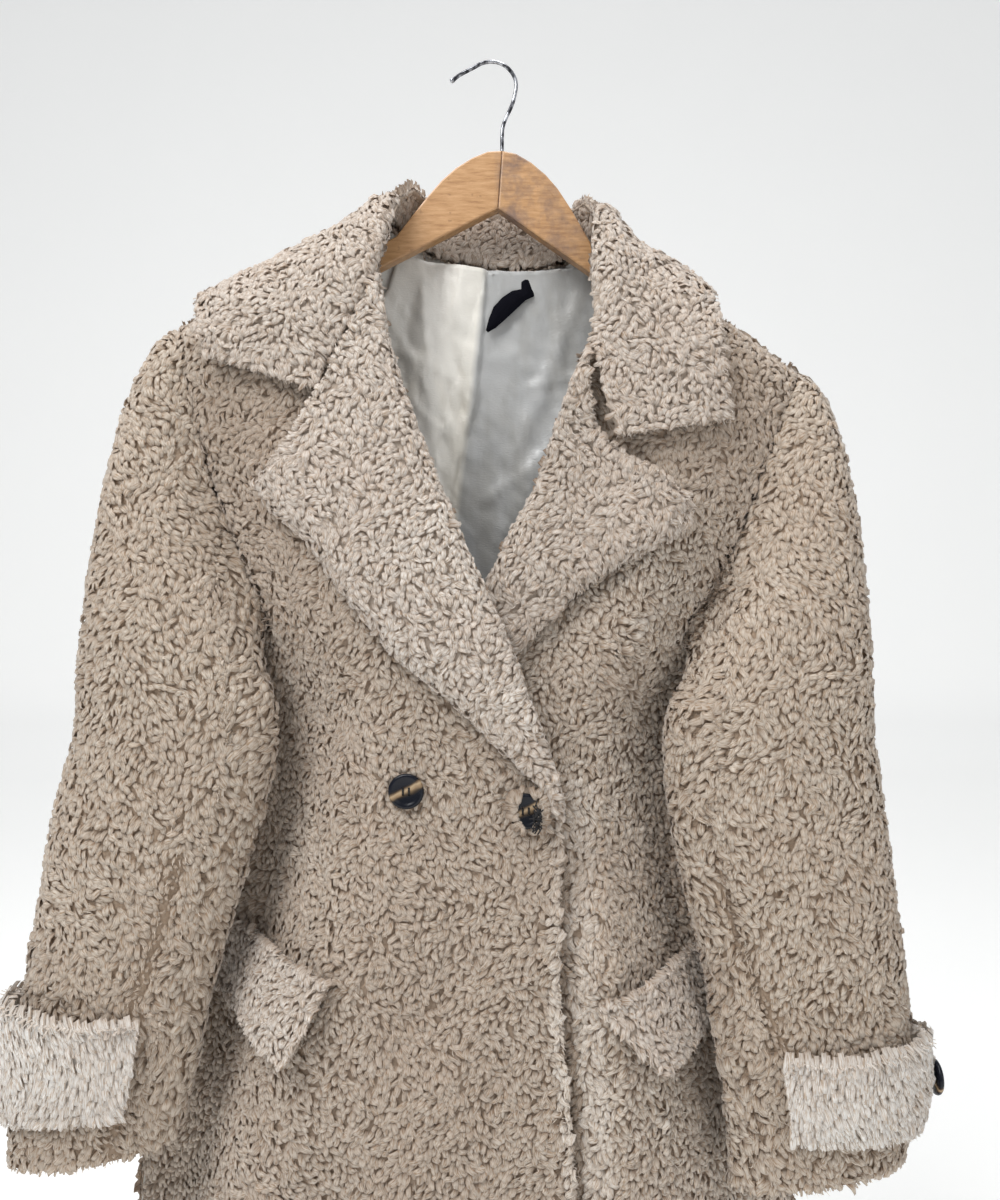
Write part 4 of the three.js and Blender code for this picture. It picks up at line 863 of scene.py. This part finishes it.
# Creases of the lining, from and to in mm, with width and height in mm
CREASES = [
    ((-100, -190), (-20, -330), 6, 3.2),
    ((-60, -175), (-44, -380), 5, 2.6),
    ((-92, -232), (-34, -262), 4, 2.0),
    ((-90, -262), (-30, -318), 5, 2.2),
    ((-84, -300), (-26, -420), 6, 2.4),
    ((-74, -340), (-34, -300), 4, 1.8),
    ((80, -185), (22, -330), 6, 3.0),
    ((92, -240), (0, -420), 7, 2.8),
    ((60, -200), (66, -360), 4, 2.0),
    ((84, -300), (-8, -372), 4, 2.2),
    ((40, -380), (-20, -480), 5, 2.4),
    ((20, -210), (52, -290), 4, 1.8),
    ((0, -330), (60, -410), 5, -2.0),
    ((-70, -200), (-80, -330), 5, -2.0),
    ((76, -260), (30, -270), 4, 1.8),
]
CREASE_FADE = 5
CREASE_END = 0.6
CREASE_ROUND = 1.4

# Edges of the pleat, as x at a height z in mm, and how far it stands out
PLEAT_HEIGHTS = [-440, -372, -321, -287, -236, -180]
PLEAT_LEFT = [-47, -46, -37, -24, -33, -35]
PLEAT_RIGHT = [-40, -36, -25, -13, -8, -4]
PLEAT_OUT = 3.5
PLEAT_RISE = 9
PLEAT_FALL = 2

# Broad waves, crumple and finer crumple all over, in mm
WAVE = 1.2
CRUMPLE = 3.4
FINE_CRUMPLE = 0.5 * CRUMPLE

# The lining reaches further sideways at the top, behind the collar
LINING_WIDER = 0.38
LINING_LOW = -0.42
LINING_HIGH = -0.20
LINING_RAISED = 9 * MM


def crease_height(p):
    """How far the creases push the lining forwards at each point, in metres."""
    x, z = p[:, 0] / MM, p[:, 2] / MM
    total = np.zeros(len(p))
    for (x0, z0), (x1, z1), wide, high in CREASES:
        dx, dz = x1 - x0, z1 - z0
        long = math.hypot(dx, dz)
        t = ((x - x0) * dx + (z - z0) * dz) / long**2
        off = ((x - x0) * dz - (z - z0) * dx) / long
        inside = np.clip(np.minimum(t, 1 - t) * CREASE_FADE + CREASE_END, 0, 1)
        total += high * inside * np.exp(-np.abs(off / wide) ** CREASE_ROUND)
    left, right = np.interp(z, PLEAT_HEIGHTS, PLEAT_LEFT), np.interp(z, PLEAT_HEIGHTS, PLEAT_RIGHT)
    rising = np.clip((x - left) / PLEAT_RISE, 0, 1)
    falling = np.clip((right - x) / PLEAT_FALL + 0.5, 0, 1)
    total += PLEAT_OUT * rising * falling
    for i, (a, b) in enumerate(zip(x, z)):
        near = noise.voronoi(Vector((a * 0.040 + b * 0.012, 2.0, b * 0.024)))[0]
        fine = noise.voronoi(Vector((a * 0.085, 4.0, b * 0.055 + a * 0.03)))[0]
        wave = noise.noise(Vector((a * 0.035, 0, b * 0.02)))
        total[i] += (WAVE * wave + CRUMPLE * (near[1] - near[0])
                     + FINE_CRUMPLE * (fine[1] - fine[0]))
    return total * MM


def cut_finer(points, faces, times):
    """Cuts every edge in two so many times, and gives points and triangles."""
    mesh = bmesh.new()
    verts = [mesh.verts.new(p) for p in points]
    for f in faces:
        mesh.faces.new([verts[i] for i in f])
    for _ in range(times):
        bmesh.ops.subdivide_edges(mesh, edges=mesh.edges[:], cuts=1, use_grid_fill=True)
    mesh.verts.ensure_lookup_table()
    co = np.array([v.co for v in mesh.verts])
    bmesh.ops.triangulate(mesh, faces=mesh.faces[:])
    mesh.verts.index_update()
    tri = np.array([[v.index for v in f.verts] for f in mesh.faces])
    mesh.free()
    return co, tri


LINING_THICK = 0.4 * MM
LINING_MOVES = (-1.5 * MM, 5 * MM)
LINING_CUTS = 3
LEAST_SIDE = 0.0008


def lining_piece():
    """The back's satin, with its folds and pleat cut into the solid's front side."""
    points, tri = node_arrays(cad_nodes["lining_back"])
    groups = regions(points, tri)
    normal, area = face_normals(points, tri)
    front = [g for g in groups if normal[g][:, 1] @ area[g] < 0 and area[g].sum() > LEAST_SIDE]
    faces = tri[np.concatenate(front)]
    used, faces = np.unique(faces, return_inverse=True)
    co, faces = cut_finer(points[used], faces.reshape(-1, 3), LINING_CUTS)
    up = np.clip((co[:, 2] - LINING_LOW) / (LINING_HIGH - LINING_LOW), 0, 1)
    co[:, 0] *= 1 + LINING_WIDER * up
    co[:, 2] += LINING_RAISED * up**2
    co[:, 1] -= np.clip(crease_height(co), *LINING_MOVES)
    obj = new_mesh("lining_back_satin", co, faces)
    add_thickness(obj, LINING_THICK, offset=1)
    obj.data.materials.append(materials["satin"])
    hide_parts("lining_back")
    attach(obj, "root")


# The label's two edges from its top tab to its tip, in mm: left x z, right x z, lift off the lining
LABEL_ROWS = [
    ((28.2, -177.2), (36.0, -182.3), 2.0),
    ((27.2, -184.0), (37.6, -189.5), 3.5),
    ((27.0, -190.0), (37.8, -196.0), 4.5),
    ((19.0, -192.0), (30.4, -200.0), 6.0),
    ((10.5, -198.0), (21.8, -208.5), 7.0),
    ((3.0, -206.0), (12.5, -217.0), 6.5),
    ((-1.0, -216.0), (4.8, -223.0), 5.0),
    ((-3.4, -225.5), (-2.4, -226.8), 3.5),
]
LABEL_RAISED = 4.0
LABEL_THICK = 0.7 * MM
LABEL_ACROSS = 6
LABEL_CURL = 1.4
LABEL_CRUMPLE = 0.4


def label_piece():
    """The bare black label: a folded ribbon that hangs from its top tab."""
    _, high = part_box("neck_label")
    points = []
    for (left_x, left_z), (right_x, right_z), lift in LABEL_ROWS:
        for i in range(LABEL_ACROSS + 1):
            t = i / LABEL_ACROSS
            x = left_x + (right_x - left_x) * t
            z = LABEL_RAISED + left_z + (right_z - left_z) * t
            crumple = LABEL_CRUMPLE * noise.noise(Vector((x * 0.3, 1, z * 0.3)))
            curl = LABEL_CURL * math.sin(math.pi * t) + crumple
            points.append((x * MM, high.y - (lift + curl) * MM, z * MM))
    wide = LABEL_ACROSS + 1
    faces = [(r * wide + i, r * wide + i + 1, (r + 1) * wide + i + 1, (r + 1) * wide + i)
             for r in range(len(LABEL_ROWS) - 1) for i in range(LABEL_ACROSS)]
    obj = new_mesh("neck_label_ribbon", points, faces, smooth=False)
    add_thickness(obj, LABEL_THICK)
    obj.data.materials.append(materials["label"])
    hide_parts("neck_label")
    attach(obj, "root")


# Hook and buttons

# The middle of the wire from its free end to the wood, as x and z in mm
HOOK_PATH = [
    (-33.6, -15.5), (-29.5, -12.6), (-25.0, -9.4), (-14.9, -4.1), (-6.2, 0.3), (3.5, 1.4),
    (12.5, -1.9), (19.2, -8.8), (22.2, -17.9), (20.4, -29.8), (17.6, -38.0), (13.8, -46.0),
    (11.0, -54.0), (10.3, -62.0), (10.2, -76.4),
]
HOOK_TOP = 0.0032
HOOK_STEPS = 8

# The wire ends in a small bead, widest three steps from its end
WIRE_RADIUS = 1.6 * MM
END_RADIUS = 0.8 * MM
BEAD_RADIUS = 2.3 * MM
BEAD_AT = 3
BEAD_SPREAD = 3.0


def smooth_path(points, steps):
    """A round curve through the points, with steps stretches between each two."""
    out = []
    pts = [2 * points[0] - points[1], *points, 2 * points[-1] - points[-2]]
    for i in range(1, len(pts) - 2):
        for s in range(steps):
            t = s / steps
            a, b, c, d = pts[i - 1:i + 3]
            out.append(0.5 * ((2 * b) + (c - a) * t + (2 * a - 5 * b + 4 * c - d) * t**2
                              + (3 * b - a - 3 * c + d) * t**3))
    out.append(pts[-2])
    return np.array(out)


WIRE_SIDES = 20


def tube(path, radius, sides=WIRE_SIDES):
    """Points and faces of a round wire along a path, closed at both ends."""
    tangent = unit(np.gradient(path, axis=0))
    across = unit(np.cross(tangent, np.tile([0.0, 1.0, 0.01], (len(path), 1))))
    over = np.cross(tangent, across)
    points, faces = [], []
    for i, p in enumerate(path):
        for s in range(sides):
            a = 2 * math.pi * s / sides
            points.append(p + radius[i] * (math.cos(a) * across[i] + math.sin(a) * over[i]))
    for i in range(len(path) - 1):
        for s in range(sides):
            t = (s + 1) % sides
            faces.append((i * sides + s, i * sides + t, (i + 1) * sides + t, (i + 1) * sides + s))
    faces.append(tuple(range(sides))[::-1])
    faces.append(tuple((len(path) - 1) * sides + s for s in range(sides)))
    return np.array(points), faces


def append_tube(points, faces, path, radius, sides):
    """Adds a wire of even thickness to a mesh's points and faces."""
    start = len(points)
    more_points, more_faces = tube(path, np.full(len(path), radius), sides)
    points += list(more_points)
    faces += [tuple(i + start for i in face) for face in more_faces]


def hook_piece():
    """The chrome wire, bent over the rest point at the origin."""
    flat = [np.array([x * MM, 0.0, z * MM]) for x, z in HOOK_PATH]
    path = smooth_path(flat, HOOK_STEPS)
    radius = np.full(len(path), WIRE_RADIUS)
    along = np.arange(len(path))
    radius += (BEAD_RADIUS - WIRE_RADIUS) * np.exp(-((along - BEAD_AT) / BEAD_SPREAD) ** 2)
    radius[0] = END_RADIUS
    points, faces = tube(path, radius)
    points[:, 2] -= max(0.0, points[:, 2].max() - HOOK_TOP)
    obj = new_mesh("hanger_hook_wire", points, faces)
    obj.data.materials.append(materials["chrome"])
    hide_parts("hanger_hook")
    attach(obj, "root")


# A button's outline from the middle of its face to that of its back: radius and height in mm
BUTTON_PROFILE = [
    (4.0, 2.7), (8.4, 2.9), (9.6, 3.4), (10.6, 4.1), (11.6, 4.3), (12.6, 4.1), (13.4, 3.3),
    (13.7, 2.2), (13.4, 1.1), (12.4, 0.3), (11.0, 0.0),
]
BUTTON_SIDES = 64
BUTTON_RADIUS = 13.7
HOLE_OFF = 2.3 * MM
HOLE_RADIUS = 0.95 * MM


DRILL_LOW = -2 * MM
DRILL_HIGH = 6 * MM
HOLE_SIDES = 14
SHARP_ANGLE = math.radians(50)


def button_solid(name):
    """A button with a raised rim and four holes right through, its face along +Z."""
    points, faces = [], []
    for r, h in BUTTON_PROFILE:
        for s in range(BUTTON_SIDES):
            a = 2 * math.pi * s / BUTTON_SIDES
            points.append((r * MM * math.cos(a), r * MM * math.sin(a), h * MM))
    rows = len(BUTTON_PROFILE)
    for i in range(rows - 1):
        for s in range(BUTTON_SIDES):
            t = (s + 1) % BUTTON_SIDES
            a, b = i * BUTTON_SIDES, (i + 1) * BUTTON_SIDES
            faces.append((a + s, b + s, b + t, a + t))
    faces.append(tuple(range(BUTTON_SIDES)))
    faces.append(tuple((rows - 1) * BUTTON_SIDES + s for s in range(BUTTON_SIDES))[::-1])
    obj = new_mesh(name, points, faces, smooth=False)
    drill_points, drill_faces = [], []
    for x, y in ((1, 1), (1, -1), (-1, 1), (-1, -1)):
        at = np.array([x * HOLE_OFF, y * HOLE_OFF, 0])
        path = np.array([at + [0, 0, DRILL_LOW], at + [0, 0, DRILL_HIGH]])
        append_tube(drill_points, drill_faces, path, HOLE_RADIUS, HOLE_SIDES)
    drill = new_mesh(f"{name}_drill", drill_points, drill_faces, smooth=False)
    cut = obj.modifiers.new("holes", "BOOLEAN")
    cut.operation = "DIFFERENCE"
    cut.solver = "EXACT"
    cut.object = drill
    bpy.context.view_layer.update()
    done = bpy.data.meshes.new_from_object(obj.evaluated_get(bpy.context.evaluated_depsgraph_get()))
    obj.modifiers.clear()
    obj.data = done
    bpy.data.objects.remove(drill)
    done.polygons.foreach_set("use_smooth", np.ones(len(done.polygons), bool))
    done.set_sharp_from_angle(angle=SHARP_ANGLE)
    own = np.zeros(len(done.vertices) * 3, np.float32)
    done.vertices.foreach_get("co", own)
    layer = done.attributes.new("own_place", "FLOAT_VECTOR", "POINT")
    layer.data.foreach_set("vector", own / (BUTTON_RADIUS * MM))
    return obj


# The fastened button leans further into the fur than its solid does
EXTRA_TURN = {"button_waist": math.radians(24)}


def turned_like(node, obj):
    """Puts a button made at zero, facing +Z, where the CAD button is."""
    points, _ = node_arrays(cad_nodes[node])
    middle = (points.max(axis=0) + points.min(axis=0)) / 2
    _, _, axes = np.linalg.svd(points - points.mean(axis=0))
    axis = axes[2]
    outwards = np.array([0.0, -1.0, 0.0])
    if node.endswith("cuff_button"):
        outwards = np.array([np.sign(middle[0]), 0.0, 0.0])
    if axis @ outwards < 0:
        axis = -axis
    reach = points @ axis
    half = (reach.max() - reach.min()) / 2
    extra = EXTRA_TURN.get(node, 0.0)
    cos, sin = math.cos(extra), math.sin(extra)
    axis = np.array([axis[0] * cos - axis[1] * sin, axis[0] * sin + axis[1] * cos, axis[2]])
    base = middle - axis * half
    obj.location = Vector(base)
    obj.rotation_mode = "QUATERNION"
    obj.rotation_quaternion = Vector(axis).to_track_quat("Z", "Y")
    bpy.context.view_layer.update()
    obj.data.transform(obj.matrix_world)
    obj.location = (0, 0, 0)
    obj.rotation_quaternion = (1, 0, 0, 0)
    return base, axis


def button_piece(node):
    """A horn button with its sewn thread."""
    obj = button_solid(f"{node}_horn")
    base, axis = turned_like(node, obj)
    obj.data.materials.clear()
    obj.data.materials.append(materials["horn"])
    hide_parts(node)
    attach(obj, "root")
    button_thread(node, base, axis)


# A strand from hole to hole: share of the way across, and height in mm
STRAND = ((-1, 1.8), (-0.9, 2.9), (-0.3, 3.3), (0.3, 3.3), (0.9, 2.9), (1, 1.8))
STRANDS_APART = (-0.35, 0.35)
STRAND_RADIUS = 0.38 * MM
STRAND_SIDES = 8


def button_thread(node, base, axis):
    """Two threads crossing the four holes."""
    frame = Vector(axis).to_track_quat("Z", "Y").to_matrix()
    points, faces = [], []
    for side in (-1, 1):
        for strand in STRANDS_APART:
            flat = [(side * HOLE_OFF + strand * MM, y * HOLE_OFF, h * MM) for y, h in STRAND]
            path = np.array([np.array(base) + np.array(frame @ Vector(p)) for p in flat])
            append_tube(points, faces, path, STRAND_RADIUS, STRAND_SIDES)
    obj = new_mesh(f"{node}_thread", points, faces)
    obj.data.materials.append(materials["thread"])
    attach(obj, "root")


# The end of the buttonhole as x and z in metres, and the stitches' spread in mm
STITCHES_AT = (0.0368, -0.6195)
STITCH_COUNT = 46
STITCH_SPREAD = (1.5, 0.8, 4.6)
STITCH_IN_FRONT = 0.0015
STITCH_HALF_LENGTH = 2.8 * MM
STITCH_RADIUS = 0.55 * MM
STITCH_SIDES = 6


def buttonhole_stitches(rng):
    """Dark stitches beside the fastened button, at the end of its buttonhole."""
    low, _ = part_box("button_waist")
    x, z = STITCHES_AT
    points, faces = [], []
    for _ in range(STITCH_COUNT):
        a = rng.uniform(0, 2 * math.pi)
        off = np.array([rng.normal(0, spread) for spread in STITCH_SPREAD]) * MM
        at = np.array([x, low.y - STITCH_IN_FRONT, z]) + off
        way = np.array([math.cos(a), 0.3 * rng.normal(), math.sin(a) * 1.6])
        way *= STITCH_HALF_LENGTH / np.linalg.norm(way)
        path = np.array([at - way, at + [0, -1.0 * MM, 0], at + way])
        append_tube(points, faces, path, STITCH_RADIUS, STITCH_SIDES)
    obj = new_mesh("buttonhole_stitching", points, faces)
    obj.data.materials.append(materials["thread"])
    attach(obj, "root")


# Locks round the fastened button: arcs in degrees with how many lie on each
TUFT_ARCS = ((110, 250, 26), (-62, 70, 30))
TUFT_RING = 14.5 * MM
TUFT_SPREAD = (0.80, 1.15)
TUFT_OVAL = 0.82
TUFT_LEAN = 0.2
TUFT_CHANCE = 0.45
TUFT_OFFSET = (0.002, 0.0025)
TUFT_ROW = {"node": "button_waist", "size": 0.85, "long": 1.1, "curl": 0.8, "dull": 0.2}


def button_tufts(rng):
    """Locks round the fastened button that lean over its edge."""
    low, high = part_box("button_waist")
    aside, behind = TUFT_OFFSET
    centre = np.array([(low.x + high.x) / 2 + aside, low.y + behind, (low.z + high.z) / 2])
    angles = np.concatenate([rng.uniform(math.radians(start), math.radians(end), count)
                             for start, end, count in TUFT_ARCS])
    ring = np.stack([np.cos(angles) * TUFT_OVAL, np.zeros(len(angles)), np.sin(angles)], axis=1)
    radius = TUFT_RING * rng.uniform(*TUFT_SPREAD, len(angles))
    place = centre + ring * radius[:, None]
    normal = unit(np.tile([0.0, -1.0, 0.0], (len(angles), 1)) - TUFT_LEAN * ring)
    lie = unit(-ring + rng.normal(0, TUFT_CHANCE, ring.shape) * [1, 0, 1])
    lie -= normal * (lie * normal).sum(axis=1)[:, None]
    points, faces, info = lock_arrays(place, normal, unit(lie), TUFT_ROW, rng)
    obj = fast_mesh("button_waist_tufts", points, faces)
    add_info(obj, info)
    obj.data.materials.append(materials["fur_body"])
    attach(obj, "root")


# Stage, light and camera

# The stage from front to back, as y and z in metres, and half its width
STAGE_PROFILE = [(-7.0, -1.32), (3.2, -1.32), (3.6, -1.25), (3.9, -1.05), (4.0, -0.8), (4.0, 6.0)]
STAGE_HALF = 9.0
STAGE_COLOR = (0.80, 0.80, 0.79)

LIGHTS = [
    {"name": "key", "at": (-1.2, -1.5, 1.6), "towards": (0, 0, -0.6), "size": 1.6, "power": 66},
    {"name": "fill", "at": (1.8, -2.2, 0.2), "towards": (0, 0, -0.6), "size": 2.5, "power": 14},
    {"name": "top", "at": (0.1, -0.45, 1.9), "towards": (0, 0, -0.5), "size": 1.4, "power": 34},
]
SKY_COLOR = (0.93, 0.96, 1.0, 1)
SKY_STRENGTH = 0.40


def make_stage():
    """A pale floor that curves up into a pale wall far behind."""
    points = [(x, y, z) for y, z in STAGE_PROFILE for x in (-STAGE_HALF, STAGE_HALF)]
    faces = [(2 * i, 2 * i + 1, 2 * i + 3, 2 * i + 2) for i in range(len(STAGE_PROFILE) - 1)]
    obj = new_mesh("studio_sweep", points, faces)
    obj.data.materials.append(stage_material("studio_pale", STAGE_COLOR))


def area_light(name, at, towards, size, power):
    data = bpy.data.lights.new(name, "AREA")
    data.shape = "DISK"
    data.size = size
    data.energy = power
    obj = bpy.data.objects.new(name, data)
    bpy.context.scene.collection.objects.link(obj)
    obj.location = at
    obj.rotation_mode = "QUATERNION"
    obj.rotation_quaternion = (Vector(towards) - Vector(at)).to_track_quat("-Z", "Y")


def make_light():
    world = bpy.data.worlds.new("soft_daylight")
    world.use_nodes = True
    sky = world.node_tree.nodes["Background"]
    sky.inputs["Color"].default_value = SKY_COLOR
    sky.inputs["Strength"].default_value = SKY_STRENGTH
    bpy.context.scene.world = world
    for light in LIGHTS:
        area_light(**light)


def make_camera():
    data = bpy.data.cameras.new("view")
    data.lens = CAMERA_LENS
    data.sensor_width = CAMERA_SENSOR
    data.clip_start = CAMERA_NEAR
    obj = bpy.data.objects.new("view", data)
    bpy.context.scene.collection.objects.link(obj)
    obj.location = CAMERA_AT
    obj.rotation_euler = (math.pi / 2, 0, 0)
    bpy.context.scene.camera = obj


FUR_SEED = 100
STITCH_SEED = 7
TUFT_SEED = 8

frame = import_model()
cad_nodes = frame["nodes"]
bpy.context.scene.view_settings.view_transform = "Standard"

make_camera()
materials = {
    "satin": satin_material(), "label": label_material(),
    "wood": wood_material(), "chrome": chrome_material(), "horn": horn_material(),
    "thread": thread_material(),
}
for look_name in TIP:
    materials[f"fur_{look_name}"] = fur_material(look_name)
    materials[f"ground_{look_name}"] = ground_material(look_name)

for seed, fur_row in enumerate(FUR):
    random = np.random.default_rng(FUR_SEED + seed)
    fur_object = fur_piece(fur_row, random)
    fabric_piece(fur_row)

lining_piece()
label_piece()
hook_piece()
for button_node in ("button_top", "button_waist", "right_cuff_button", "left_cuff_button"):
    button_piece(button_node)
buttonhole_stitches(np.random.default_rng(STITCH_SEED))
button_tufts(np.random.default_rng(TUFT_SEED))
for arm in ("hanger_right_arm", "hanger_left_arm"):
    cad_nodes[arm].data.materials.clear()
    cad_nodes[arm].data.materials.append(materials["wood"])

make_stage()
make_light()
